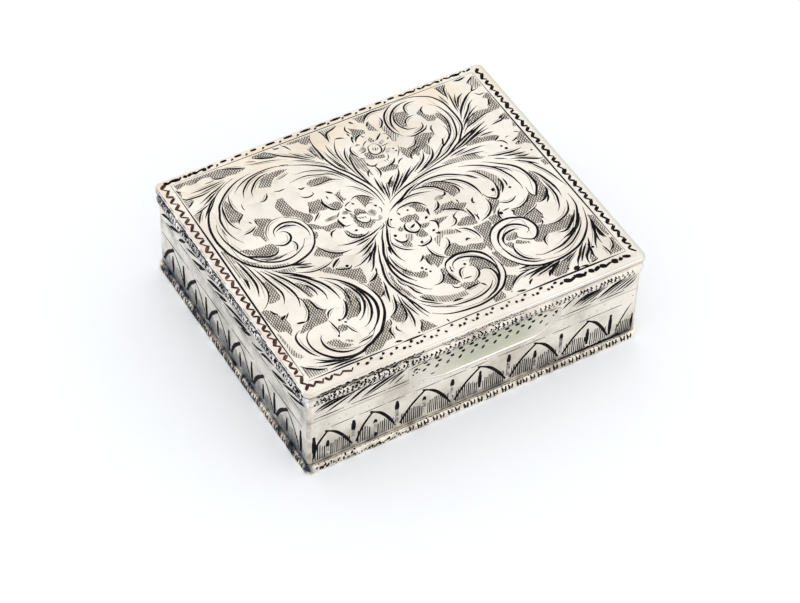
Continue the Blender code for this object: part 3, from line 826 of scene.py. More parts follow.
# %% Cuts, hinge side band
CUTS_BACK = """
.22 -28 26, -27.2 26.5, -26 26.7; .38 -24.8 25.6, -23.8 25.1, -22.3 24.9
.2 -26.5 25.1, -25.5 25, -24.5 25.1; .4 -22.4 27.1, -21 26.6, -19.8 26, -18 25.3
.32 -29.9 24.1, -28 24, -26 24.1, -23 24.3; .28 -28.6 23.2, -27 23.4, -25 23.7, -23.2 23.9
.38 -32 23.8, -31.3 23, -30 22.8, -28.3 22.7, -26.5 22.9; .4 -32 25.9, -31.8 25.4, -31.2 25.3
.34 -32 20.9, -31.4 21.3, -30.2 22.2; .34 -29.6 20.9, -28 21.6, -26.5 22.3, -25 22.8, -23 23.8
.36 -29.2 20.2, -27.5 21.1, -26.2 21.9, -25.3 22.3; .3 -32 18.7, -30 19.3, -28 20.1
.34 -32 16.4, -31 18.1, -30 19.1; .38 -30.5 17.1, -29.2 18.6, -27.5 20.4, -26.6 21.1
.3 -22.9 20.2, -21.8 21.2, -20.5 22, -19 22.6, -17 23, -14.8 23.1, -13 22.9, -11.5 22.3
.36 -21.9 18.4, -21.3 19.8, -20.2 21, -18.8 22, -17 22.6, -15.2 22.8
.38 -20.3 18, -19.9 19.2, -19 20.3, -18 21.2, -16.6 21.9, -15 22.1
.28 -24 20.6, -24.7 18.8, -24.9 16.8, -24.5 15.6, -24 14.7; .36 -19.9 16.1, -19 16, -18.2 16.5, -17.7 17.5
.2 -23.2 15.4, -23.3 16.3, -23 17.3; .28 -16.3 17.3, -15.4 16.9, -14.2 17
.2 -14.8 19.8, -13.4 19.8, -11.6 20.4; .22 -18 26, -16 25.4, -14 25, -12.4 24.5, -11 23.9
.22 -17.3 26.6, -16.2 26.1, -15.6 25.9; .42 -15.8 26.9, -14.6 26.2, -12.9 25.5, -11.4 25.1
.4 -13.2 27.4, -12.2 26.4, -11 25.1, -9.8 24.2, -8.6 23.3, -7.4 22.2, -5.8 20.8
.3 -9.2 24.9, -8 23.6, -6.8 22.3, -5.6 21.4; .26 -6.8 23.6, -6.2 22.6, -5.3 21.4
.28 -5.6 24.3, -5.2 22.6, -4.7 21.2; .36 -11.3 27.4, -10.8 27, -10 27; .3 -9.6 27.4, -9 26.8, -8.4 25.4
.24 -12.4 22.8, -10.6 22.2
.44 -11 22.2, -9.4 21.4, -7.8 20.6, -6.2 19.5, -4.8 18.3, -4 17, -3.1 15.4, -2.4 14.1, -1.9 12.8, -1 10.9,
-.4 8.7, -.15 6.6, -.25 4.6; .26 -10.8 19.3, -9.2 19.2, -7.4 18.7, -5.4 17.6, -3.8 15.9, -2.8 14
.28 -12.8 17.8, -11 18.1, -9 18, -7 17.2, -5.4 16.6, -4.3 15.5, -3.4 14
.2 -8 21.9, -6.4 20.8, -5 19.6, -3.6 18; .2 -9.6 22.8, -7.8 21.9, -6.2 20.6
.42 -12 15.9, -11.6 15.4, -10.8 15.6; .34 -10 15.2, -8.4 15, -6.6 15.1, -5.2 14.9, -4 14.2
.3 -1.7 27.4, -1.2 26.4, -1.2 25
.42 -3.4 27.4, -3.9 26.4, -4.2 24.8, -4.1 22.4, -4 20.4, -3.6 18.6, -3 16.9, -1.9 15.1, -1.2 13.6,
-.5 11.9, 0 10.6, .4 9, .5 7.4, .4 5.5; .44 .2 26.3, -.5 26.1, -.9 25.2, -1.1 23.9
.28 -2.2 23.5, -2.3 21.8, -2.1 20.2, -1.8 18.4; .26 -3.2 22.2, -3 20.4, -2.4 18.2, -1.6 15.8
.24 -3 19.4, -2.5 17.6, -1.6 15.4; .34 0 23.8, -.9 22.2, -1.4 20.2, -1.3 17.6, -.9 15, -.6 13
.34 .7 21.2, -.1 19.8, -.5 18.2, -.5 16.6; .44 1 19.5, .3 18.6, -.1 17, -.3 15, -.15 13, .1 11.2, .35 9.6
.4 -.4 26.4, .8 26.6, 2.1 27.1; .36 .1 24.1, 1 23.9, 1.9 23.5; .34 3.5 26.2, 3 25.2, 3.3 24.3, 3.4 23.8
.5 4.7 27, 4.9 26.5, 5.3 26.1; .34 2.7 21.4, 2.9 22.4, 3.3 23.2; .42 3.3 21.5, 3.6 22.2, 4.4 22.7, 5.2 22.9
.4 1.9 20.9, 1.3 20.2, 1.2 19, 1.8 17.6; .42 7 25.2, 7.8 26.3, 9 27.1, 10.4 27.2, 12 26.8
.4 10.4 25.2, 10.3 24, 9.5 22.9, 8.9 22.7; .34 8.5 21.5, 7.7 20.8, 7 20.1; .3 7 24.2, 7.6 25, 8.1 25.3
.3 11 15.5, 12.2 15.5, 13 16.1, 13.5 17.4
.42 14.3 27.4, 12.6 26.4, 11.4 25.2, 10.7 23.4, 10.6 21.6, 10.9 20.2, 11.8 18.8
.42 17.2 26.7, 15.6 26.6, 14 26, 12.6 24.8, 11.6 23, 11.4 21.4, 11.7 19.8
.34 13.8 25.8, 12.8 24.2, 12.4 22.6, 12.6 21.2, 13.4 20, 14.4 19.6, 15.3 19.5
.34 16.7 20.3, 16.4 19.2, 15.4 18.6, 14 18.4; .4 17.2 19.2, 16.4 18.4, 15 18, 13.6 17.8, 12.4 18.4
.3 13.8 20.6, 14.2 22, 15.2 22.7, 16.4 22.7; .36 15.7 23.2, 15.5 24.4, 15.9 25.6, 17 26.1, 18.4 26
.4 14.5 27.4, 16 27.5, 18.2 27.3, 20 26.6, 21.8 25.4, 23 23, 23.3 20.4, 23.3 17.6, 22.8 15.6, 21.5 13.9,
20.3 12.5, 18.85 11.6, 17.4 10.7, 16 10.1, 14 9.5, 12 9, 10 8.5, 8 8
.36 20.4 23.9, 21.4 22.8, 22.1 21, 22.3 19, 22 17.2, 21.4 15.4, 20.5 13.9, 19.2 12.8, 18 11.95, 16.7 11.1,
14.9 10.4, 13.1 9.8, 11.3 9.1; .34 20.8 21.6, 21.2 19.6, 21.1 17.8, 20.3 15.6, 19 13.8
.36 19.1 24, 18.3 23.4, 18.2 22.2; .36 18 18.8, 17.4 18, 17.3 16.8
.4 19.9 17.6, 19.9 16, 19.4 14.6, 17.8 13.2, 16.7 12.6, 15.6 11.6, 14.2 10.6, 12.6 9.9, 11.2 9.3
.34 15 14.6, 15.6 15.6, 16.6 16; .3 11 13.9, 12 14.6, 13.6 15; .3 23.7 27.1, 24 26, 24.2 24.6
.34 25.9 27.2, 25 26.2, 24.6 24.8, 24.3 23.4; .24 23.2 25.2, 23.5 23.6, 23.7 22
.34 25.3 25, 24.9 23.4, 24.5 21.4, 24.2 19.4; .3 26.2 24.1, 25.5 22.8, 24.9 21.2, 24.6 19.6
.42 27.6 23.6, 26.4 22.9, 25.6 21.9, 25 20.6
.5 29.6 23.3, 28.4 22.8, 27.2 21.9, 26 20.8, 24.8 19.4, 23.8 17.6
.4 28.3 21.1, 27.2 20.4, 26.2 19.2, 25 18, 23.6 16.6
.34 28.3 19.3, 27 18.7, 25.8 17.9, 24.2 16.6, 22.6 14.8; .3 27.7 18, 26.4 17.6, 25.2 17, 23.6 15.8
.34 30 16.6, 28.4 16.6, 27 16.2, 25.4 15.6, 23.6 15, 22.2 13.8; .3 27.4 14.9, 26 14.4, 24.4 13.8, 22.4 13.2
.34 30.2 24.9, 30 24, 29.4 23.3, 30.8 23.4; .44 27.7 27.3, 28.8 27, 30.4 27.3
.34 29.6 25.5, 30.4 26, 31.6 26.8; .36 31 19.8, 30.6 18.8, 30 18.3; .3 29.6 22.5, 30.2 21.7, 31.4 21.7
.24 5 17.9, 5.25 18.7; .26 5.4 17.6, 5.7 18.6; .22 5.85 17.7, 6.1 18.3
"""
print("hinge side band", len(engraver_lines(CUTS_BACK)), "cuts")

# %% Cuts, upper middle band
CUTS_UPPER = """
.5 -21.4 23.9, -23.2 23.2, -25 22.2, -26.5 21, -28 19.3, -29.4 17.8, -30.5 15.7, -31.1 13.8, -31.35 12,
-31.4 10.4, -31.2 8.8, -30.9 7.1, -30.3 5.5, -29.6 3.9, -28.7 2.6, -27.4 1.4, -25.8 .3, -24 -.3,
-21.9 -.65, -20.1 -.3, -18.7 .15, -17.4 .85, -16.3 1.9, -15.6 3, -15 4.6, -14.9 5.6, -15.05 7.1, -15.6 8.7,
-16.9 9.9, -17.9 10.6
.42 -18 23.6, -20 23.2, -21.5 22.7, -23 21.9, -24.6 20.8, -25.9 19.6, -26.9 18.5, -27.6 17, -28.3 15.5,
-28.55 13.8, -28.55 12.1, -28.3 10.7, -27.85 9.4, -27.2 8.4
.36 -26.1 19, -26.6 17.8, -27 16.2, -27.2 14.4, -26.85 12.6, -26.15 11.5
.42 -29.5 14.7, -30 13.2, -30.1 11.6, -30 10, -29.6 8.35, -29.2 6.9, -28.65 5.5, -27.75 4.1, -26.7 2.8,
-25.4 1.85, -24 1.2, -22.6 .95, -21 1.1, -19.35 1.75, -18.1 2.65, -17.1 4.1
.2 -29.05 13.4, -29.15 12.1, -29.1 11.2; .38 -25.75 12.9, -25.4 13.6, -24.7 14.15, -24 14.7
.38 -26.3 10.05, -24.7 10.2, -23.8 10.7, -23.35 11; .3 -22.85 12.55, -22.95 11.2; .36 -24 12.6, -23.7 11.9
.5 -29 6.2, -28.2 4.9, -27 4.2, -25.8 3.5, -24.6 3, -23.6 3, -22.9 3.4, -22.3 4.3
.38 -26.5 3.2, -25.1 2.3, -23.5 1.95, -21.7 2.2
.45 -22.8 5.4, -22.2 4.85, -21 4.3, -19.7 4.75, -19 5.75, -19.1 6.85, -19.7 7.5, -20.3 7.6
.34 -19.5 4.7, -19.05 4, -19.1 3, -19.9 1.9
.46 -21.55 6.95, -21.4 7.9, -20.8 8.7, -19.7 9.2, -18.65 9.35, -17.2 8.9, -16.3 8, -15.8 6.75, -15.6 5.5,
-15.8 4.25; .44 -20.8 8, -19.9 8.4, -18.8 8.5, -17.7 8.1, -16.85 7.6
.22 -23 6.5, -22.8 8.1, -22 9.5, -20.8 10.6, -19.6 10.95, -17.9 10.75
.5 -30.7 5.5, -30.4 3.4, -30.15 1.2, -30.05 -1, -30.2 -2.4, -30.6 -3.7, -31 -4.7
.34 -30.1 4.6, -29.5 2.3, -29.25 .4, -29.05 -1, -29 -2.6, -29.05 -4.2, -29.5 -5.5, -30.3 -6.7, -31.3 -7.6,
-32 -8
.42 -28.75 1.75, -28.3 .15, -28.1 -.8, -27.7 -2.6, -27.3 -4.2, -27.05 -5.6, -27.2 -6.8, -27.6 -7.8,
-27.95 -8.4
.48 -27.9 .7, -27.1 -.8, -26.5 -2.4, -25.9 -4, -25.4 -5.6, -25.15 -7.2, -25.2 -8.6, -25.5 -9.6, -25.75 -10.3
.46 -27.2 .5, -26.3 -1, -25.6 -2.2, -25 -3.2, -24.3 -4.8, -23.8 -6.2, -23.5 -7.6, -23.2 -8.9
.26 -17.8 12.8, -17.7 12; .34 -13.2 9.25, -12.6 10.4; .34 -13.5 6.95, -12.8 7.6, -12.2 8.1, -11.5 8.7
.5 -9.6 11.6, -9.9 10.3, -9.6 9.1, -9 8, -8.1 7.4; .3 -8.5 11.7, -8.5 10.8; .5 -8.1 12.75, -7 11.7
.3 -6.85 11.2, -6.6 10, -6.6 8.4; .34 -12.65 13.8, -12.1 13.2, -11.15 12.95, -10.2 13.3, -10.2 13.8
.34 -5 8.6, -4 9.05, -2.75 8.7, -1.7 7.8, -1 6.75; .24 -4.2 12.3, -2.9 11.4, -1.85 10, -1 8.4, -.6 6.6
.6 -7.9 1.4; .5 -8.4 5.2; .4 -5.1 7.5; .5 -1.7 5.2; .5 -9.5 5.5, -9.6 4.6, -9.4 3.7, -9 3.2
.46 -9.9 2.3, -9.8 1, -9.15 0, -7.75 -.45, -6.7 -.3, -5.9 .15; .4 -6.95 7.3, -6.85 6.55, -6.3 5.95
.28 -6.85 7.6, -6.15 8.1, -5.25 8.35; .38 -12.6 1.9, -12.4 2.6, -11.95 3.1, -10.95 3.35
.42 -16.2 1.3, -15.7 .2, -15.1 -.8, -14.1 -1.7, -13.2 -2.2, -12.3 -2.4, -11 -2.4
.4 -1.15 1.4, -1.9 .5, -2.2 -.4, -1.9 -1.1, -1.4 -1.4; .26 -2.75 .7, -2.9 0, -4.2 -.6; .5 -1.05 .7
.34 .9 12.2, 1.15 13.2, 2 13.9; .4 3.2 14.3, 3.4 13, 3.2 11.9, 2.7 11.3; .4 2.6 14.7, 3.2 14.3, 3.9 14.6
.42 5.1 13, 6 13.2, 6.9 13.6, 7.5 14.4; .3 7.3 12.7, 8 13.4, 8.9 13.7
.42 1.6 11.7, 1.4 10.1, 1.25 8.4, 1.15 6.6; .34 2.3 10.2, 1.95 8.7, 1.7 7.3, 1.2 5.1
.3 2.95 9.6, 2.5 8.4, 2.05 6.9, 1.5 5.5; .42 4.9 10.5, 4 9.8, 3.2 8.9, 2.6 7.8
.5 6.7 11.8, 6.3 10.7, 5.45 9.6, 4.4 8.5, 3.5 7.6, 2.1 5.9; .36 6.9 10.3, 6 9.25, 4.9 8.2, 3.65 7.1, 2.6 6
.44 9 11, 7.8 10, 6.5 8.9, 5.1 7.6, 3.5 6.6; .34 10.8 11.3, 9.4 10.3, 7.8 9.4, 6.15 8.2, 4.2 7.1
.38 10.3 12.5, 10.4 13.4, 11 14.2; .42 13 13.4, 12.4 12.1, 11.5 11.1, 10.3 10.3, 8.9 9.4
.5 14.9 13.5, 14.4 12.1, 13.5 11, 12.05 10.1, 10.6 9.3, 9.2 8.8; .4 18 14.8, 17.6 13.9, 17.1 12.9
.42 .9 4.6, 2.6 5.7, 5.1 6.75, 7.1 7.3, 9.2 7.85, 12 8.3, 14.9 8.2, 17.8 7.8
.5 -.2 2.7, 1.35 3.6, 2.95 4.3, 4.2 5, 5.3 5.7, 6.9 6.35, 8 6.7
.42 5.1 5, 6.7 5.8, 8.5 6.4, 10.3 6.6, 12.05 6.5, 13.8 6, 15.3 5.1, 16.7 4.1, 18.1 2.5
.42 5.45 5.3, 6.95 5.4, 8.2 5.25, 9.2 4.8, 10.3 4.1, 11 3, 11.6 1.9, 11.7 .8
.36 8.85 5.8, 10.6 5.5, 12.05 4.8, 13.1 3.9, 14 2.8, 14.6 1.2
.5 11.7 5.1, 13.5 4.6, 14.9 3.7, 16 2.3, 16.6 .7, 16.8 -.7, 16.8 -2
.46 13.2 3.3, 13.6 2.3, 13.7 1.4, 13.3 .7; .34 1.9 3.5, 3.3 4.1, 5.1 4.4, 6.9 4.2, 9 3.6
.42 .8 1.9, 1.5 2.5, 2.8 2.75, 4.4 2.7, 5.45 2.1, 6.15 1.2, 6.4 .6; .4 1 .9, .8 1.8; .5 2.8 1.4
.5 8.7 .9, 8.5 0, 8 -.7, 7.3 -1, 6.8 -1.1; .5 10.2 1.6, 10.9 1.7, 11.1 2.4
.42 24.9 14.4, 23.5 13.8, 22.1 13.2, 20.3 12.3, 18.1 11.2
.44 27.2 14.9, 25.3 14, 23.15 13, 21 11.9, 18.5 10.9, 16.7 10.2
.4 27.1 13.8, 25.1 13.1, 23.15 12.3, 21 11.3, 18.8 10.7; .36 27 13, 24.9 12.6, 23 12, 20.6 11.1
.34 27.3 11.75, 25.6 11.9, 24.4 11.75; .4 28 13.4, 29.2 13.6, 30.3 13.7, 31.4 14.3; .36 30.1 14.2, 31 14.8
.4 27.6 10.2, 26.9 9.8, 26.2 9.4; .34 16.7 9.7, 18.5 10.1, 20.8 10.4
.32 17.8 9.35, 20.3 9.5, 22.4 9.5, 23.9 9.3; .32 18.5 8.9, 20.8 8.5, 23 8
.34 26.4 9.2, 27.3 8.9, 27.8 8.2, 27.9 7.5; .6 26.6 7.9, 26.6 7.4; .7 27.1 6.7; .5 30 7.1; .45 31 4.1
.38 29 7.8, 29.9 8, 30.4 8.4; .22 28.4 9.3, 29.2 9.4; .24 30.6 10, 31.5 9.3
.44 23 6.6, 24.6 6, 26.4 5.6, 28.1 5.4, 29.6 5.6; .44 25.6 5.2, 27.1 4.7, 28.5 4.4, 29.75 4.2
.42 27.25 4.2, 28.9 3.5, 30.1 3.4; .5 26.4 3.9, 28.1 3.2, 29.9 2.1, 31.2 1.4, 31.9 1.4
.38 26.7 3.2, 28.3 2.1, 29.6 1, 30.3 .1; .26 23.6 5.5, 24.6 4.9, 25.8 4.2
.42 16.7 6.7, 18.7 6, 20.6 4.95, 22.1 3.7, 23 2.5, 23.6 1.2, 24.1 -.2, 24.3 -1.6, 24.4 -2.8, 24.2 -3.9
.5 21.35 5.7, 22.8 4.6, 24.4 3.35, 25.6 2.3, 26.5 1, 27 -.8, 27.1 -2.4, 27 -4, 26.4 -5.2, 25.8 -6,
25.4 -6.5, 24.9 -6.1, 24.7 -5, 24.9 -3.8; .32 21.9 4.1, 23.3 3, 24.4 1.9, 24.9 .85
.36 17.4 4.9, 18.6 4.2, 19.4 3, 20 1.6, 20.3 .2; .3 16.7 4.4, 17.6 3.4, 18.4 2.3
.38 27.4 3, 28.85 1.4, 29.8 -.4, 30.3 -1.4, 30.8 -2.8, 31.2 -4.4, 31.5 -5.8, 31.8 -6.9
"""
print("upper middle band", len(engraver_lines(CUTS_UPPER)), "cuts")

# %% Cuts, lower middle band
CUTS_LOWER = """
.5 -31.4 .6, -31.3 -.6, -31.6 -2.4
.5 -24.9 -2.2, -23.9 -3.3, -22.9 -4.3, -22.1 -5.3, -21.4 -6.6, -20.9 -7.8, -20.5 -9.2, -20.5 -10.2,
-20.7 -11
.5 -23.8 -2.7, -22.6 -3.6, -21.6 -4.6, -20.5 -6, -19.7 -7.2, -19.1 -8.6, -18.8 -10, -18.65 -11.2, -18.7 -12
.4 -23.1 -5.6, -22.3 -6.6, -21.9 -7.6, -21.7 -8.6, -21.8 -9.4
.5 -26 -.2, -24.8 -1.5, -23.4 -2.5, -22.2 -3.6, -20.8 -5, -20.2 -5.5
.4 -22.3 -.9, -21 -1.3, -19.9 -1.7, -18.9 -2; .4 -22 -1.6, -21 -2.1, -19.9 -2.5, -18.8 -2.8
.34 -22 -.9, -20.9 -1, -19.6 -.9
.34 -22.6 -2.7, -21.3 -3.3, -19.9 -3.85, -18.5 -4, -17.3 -3.9, -16.2 -3.6, -15.2 -3.1
.6 -19.4 -5.7, -18.2 -6.7, -17.2 -7.5, -16.4 -8.4, -15.6 -9.5, -14.9 -10.8, -14.3 -12.2, -13.8 -13.6,
-13.6 -15.2, -13.8 -16.6, -14.3 -18, -15.1 -19.3, -16.1 -20.4, -17.2 -21.3, -18.4 -21.8
.34 -19 -6.6, -18.2 -7.8, -17.5 -9.1, -17.15 -10.4, -17.1 -11.8, -17.35 -13.3, -17.8 -14.8
.34 -25 -8.2, -24.7 -9.4, -24.8 -10.8, -25 -12, -25.7 -13.2, -26.6 -14, -28 -13.9
.5 -28.3 -13.6, -27.5 -13.8, -26.6 -14; .45 -23.6 -9.6, -23.5 -10.8, -23.4 -11.8, -22.9 -12.6, -22.4 -13
.36 -20.8 -13.4, -21.8 -13.7, -22.4 -14.3, -22.8 -15.2; .42 -30.9 -8.6, -30.7 -9.5, -30.1 -10.1
.5 -30.2 -11.6, -29.6 -11.2, -29 -10.9; .3 -29.3 -11.7, -28.7 -11, -28.3 -10.6
.5 -16.2 -4.9, -15.7 -4.3, -14.9 -3.7, -13.9 -3.2
.4 -15.8 -5.1, -15.3 -5.7, -14.4 -6.1, -13.4 -6.3, -12.9 -5.8; .7 -13.7 -5.6
.42 -12.6 -.4, -11.2 -.9, -9.6 -1.1, -7.8 -1.05, -6 -.8, -4.6 -.3, -3.2 .3
.36 -9.8 -2, -8.2 -1.8, -6.6 -1.4; .4 -11 -3.9, -9.6 -3.6, -8.2 -3, -6.8 -2.3, -5.6 -1.5, -4.6 -.9
.4 -10.2 -4.8, -9 -4.3, -7.8 -3.5, -6.6 -2.7
.36 -12.8 -6.5, -11.4 -6.4, -10 -5.8, -8.6 -5, -7.4 -4.2, -6.6 -3.2, -6 -2.2
.4 -10.2 -6.8, -9.2 -6, -8.3 -5, -7.5 -4.2
.44 -10.6 -8.9, -9.8 -8.2, -9 -6.9, -8.2 -5.6, -7.4 -4.6, -6.8 -3.8, -6.2 -2.6
.5 -6.3 -3.8, -6.8 -4.8, -7.4 -6.2, -7.9 -7.4, -8.3 -8.8, -8.8 -10.2, -9.15 -11.8, -9.2 -13.4, -9 -14.4,
-8.8 -15.4, -8.6 -16.4, -8.3 -17.2, -8.1 -18.4, -8 -19.6, -7.8 -21, -7.4 -22.4, -7.1 -23.2
.5 -2.9 .2, -3.5 -.6, -4.2 -1.6, -4.8 -2.6, -5.2 -3.6, -5.8 -4.8, -6.4 -6, -6.8 -7.4, -7.1 -8.8,
-7.3 -10.2, -7.2 -11.6, -6.9 -13, -6.3 -14.2, -5.3 -15.7, -4.5 -16.8, -3.9 -17.4, -3.2 -17.8
.5 -4 -9.6, -4.4 -8.8, -4.65 -7.6, -4.7 -6.4, -4.6 -5.2, -4.3 -4, -3.8 -2.8, -3.3 -1.8, -2.8 -.8, -2.1 .9
.4 -5.2 -6.9, -5.15 -6, -4.9 -4.9
.48 -4.6 -14.8, -5.4 -13.6, -6 -12.4, -6.4 -11, -6.6 -9.6, -6.6 -8.2, -6.3 -7
.34 -5.9 -7, -6 -8.2, -5.9 -9.4, -5.6 -10.6, -5 -11.8, -4.2 -12.8; .3 -6.9 -15, -7.4 -13.8, -7.5 -12.4
.34 -9.9 -9.6, -9.4 -8.4; .34 -12 -14.9, -11.2 -14.6, -10.8 -13.8
.44 -11.4 -17, -11.1 -16.2, -10.8 -15.2, -10.5 -14.2, -10.1 -13, -9.9 -12
.5 -12.3 -11, -11.2 -10.7, -10.2 -10, -9.6 -9.2
.44 -2.9 -3.6, -2.75 -4.3, -2.4 -5, -1.9 -5.3, -1.2 -5.3, -.7 -4.9; .7 -2.4 -3.2
.34 -3.8 -3.8, -3.8 -5, -3.4 -6, -2.8 -6.8, -2 -7.4, -1 -7.8; .4 -.4 -9.7, -.8 -10.3, -1.4 -10.8, -1.8 -10.9
.4 -.4 -10.6, -.5 -11.8, -.3 -12.8; .6 -2.2 -12.5; .5 -1.7 -13.1; .5 -1.3 -13.9
.5 2.7 -3.6, 1.8 -4.2, 1 -4.1, .3 -3.4, .05 -2.5, .35 -1.7, .9 -1.3
.42 2.5 -1.6, 2.8 -2.3, 2.8 -3.2, 2.6 -3.8; .5 1 -2.85, 1.6 -2.6, 2.2 -2.2; .6 4.5 -2.1, 5.2 -1.6
.46 6.2 .2, 5.9 -.6, 5.7 -1.6; .42 4.9 -2.9, 5.5 -3.1, 5.9 -3.7, 5.8 -4.6, 5.4 -5.4; .6 4.1 -5.5, 4.7 -5.1
.5 4.4 -6, 4.9 -6.4, 5.1 -5.9; .5 8.2 -1.4, 9.4 -1.9, 10.4 -2.4, 11.2 -3.1, 11.8 -3.7
.36 11.9 -.4, 12.1 -1.2; .36 7.6 -5.95, 8.4 -5.9, 9 -5.5, 9.4 -4.8, 9.3 -4.1, 9.8 -3.6, 10.6 -3.2
.44 12.4 -3.2, 12.5 -4.6, 12.55 -5.8, 12.4 -6.6; .4 14.9 -1.4, 14.4 -2.1, 14.3 -2.8; .8 14.3 -2.7, 14.5 -2.4
.34 13 -5.2, 13.2 -6.2, 13 -7; .2 13.6 -5.4, 13.2 -6
.5 17 -1.6, 17.3 -2.6, 18 -3.3, 18.7 -3.8, 19.4 -3.2, 20 -2.2, 20.3 -.8, 20.4 .6
.44 16.9 -2.8, 16.9 -4.2, 16.5 -5.4, 15.6 -6.4, 14.6 -7, 13.3 -7.4
.42 16.8 -9.1, 16.7 -7.9, 17.1 -6.9, 17.8 -6.3; .85 17.4 -7.4; .3 17.9 -7.1, 19.4 -7
.4 1.2 -8.2, 1.15 -9.2, 1.3 -10.3, 1.8 -11.2, 2.6 -12, 3.2 -12.4
.44 0 -7.2, .5 -7.7, 1.3 -7.8, 2.2 -7.6, 2.9 -7.1, 3.2 -6.2; .8 .8 -6.7, 1.3 -7
.36 5.4 -7.9, 5.5 -8.8, 5.2 -9.6, 4.6 -10.2, 3.9 -10.6, 3.4 -11
.44 8.6 -7.1, 9.6 -7.6, 10.3 -8.4, 10.8 -9.4, 11 -10.4, 10.9 -11.2; .34 7.9 -6.8, 8.2 -7.6, 8.6 -8.2
.5 8.2 -10.4, 8.7 -10, 9.2 -10.3; .9 19.5 -1.1, 19 -1.9; .5 21.6 .7, 21.6 -.6, 21.2 -1.8, 20.4 -2.9
.36 22.3 .2, 22.3 -1.2, 22 -1.9; .6 22.3 -2.45
.38 24.7 -5.2, 24.1 -5.9, 23.4 -6.7, 22.4 -7.3, 21.3 -7.7, 20.3 -7.6, 19.6 -7.4
.34 18.3 -4.8, 19 -5.1, 19.8 -5.6, 20.8 -5.6, 21.6 -5.2, 22.2 -4.8
.5 28 -4.9, 28 -6, 27.5 -7, 26.8 -7.7, 25.9 -8.2, 24.8 -8.3; .42 27.6 -7.2, 27.2 -8, 26.6 -8.7, 26.3 -9
.5 27.6 -.4, 28.4 -1.4, 28.9 -2.6, 29.3 -4.2, 29.6 -5.8, 29.7 -7.4, 29.5 -8.8
.42 28.5 -3.6, 28.7 -5.2, 28.8 -6.8, 28.7 -8.4, 28.3 -9.6, 27.8 -10.8, 27.2 -11.6, 26.8 -11.9
.5 30.8 -8.9, 30.8 -10.4, 30.6 -12, 30 -13.4, 29 -15.1, 28.6 -15.6, 27.8 -16.6, 26.6 -17.7, 25.4 -18.5,
24 -19.2, 22.6 -19.7, 21 -19.9, 19.6 -20, 18.4 -19.9, 17.5 -19.4
.42 29.7 -10.2, 29.3 -11.4, 28.6 -12.6, 27.9 -13.2, 27 -13.7, 25.8 -14.1, 24.6 -14.2, 23.5 -13.9
.3 20.2 -10.3, 21.6 -9.8, 22.9 -9.4, 23.8 -9, 24.4 -8.5; .34 23.6 -9.4, 23.6 -10.4, 23.9 -11.3
.5 23.2 -11.7, 23.7 -12.1; .34 23.1 -12.4, 22.8 -13.1, 22.4 -13.5; .36 19.4 -7.5, 19.6 -8.2, 19.2 -9
"""
print("lower middle band", len(engraver_lines(CUTS_LOWER)), "cuts")

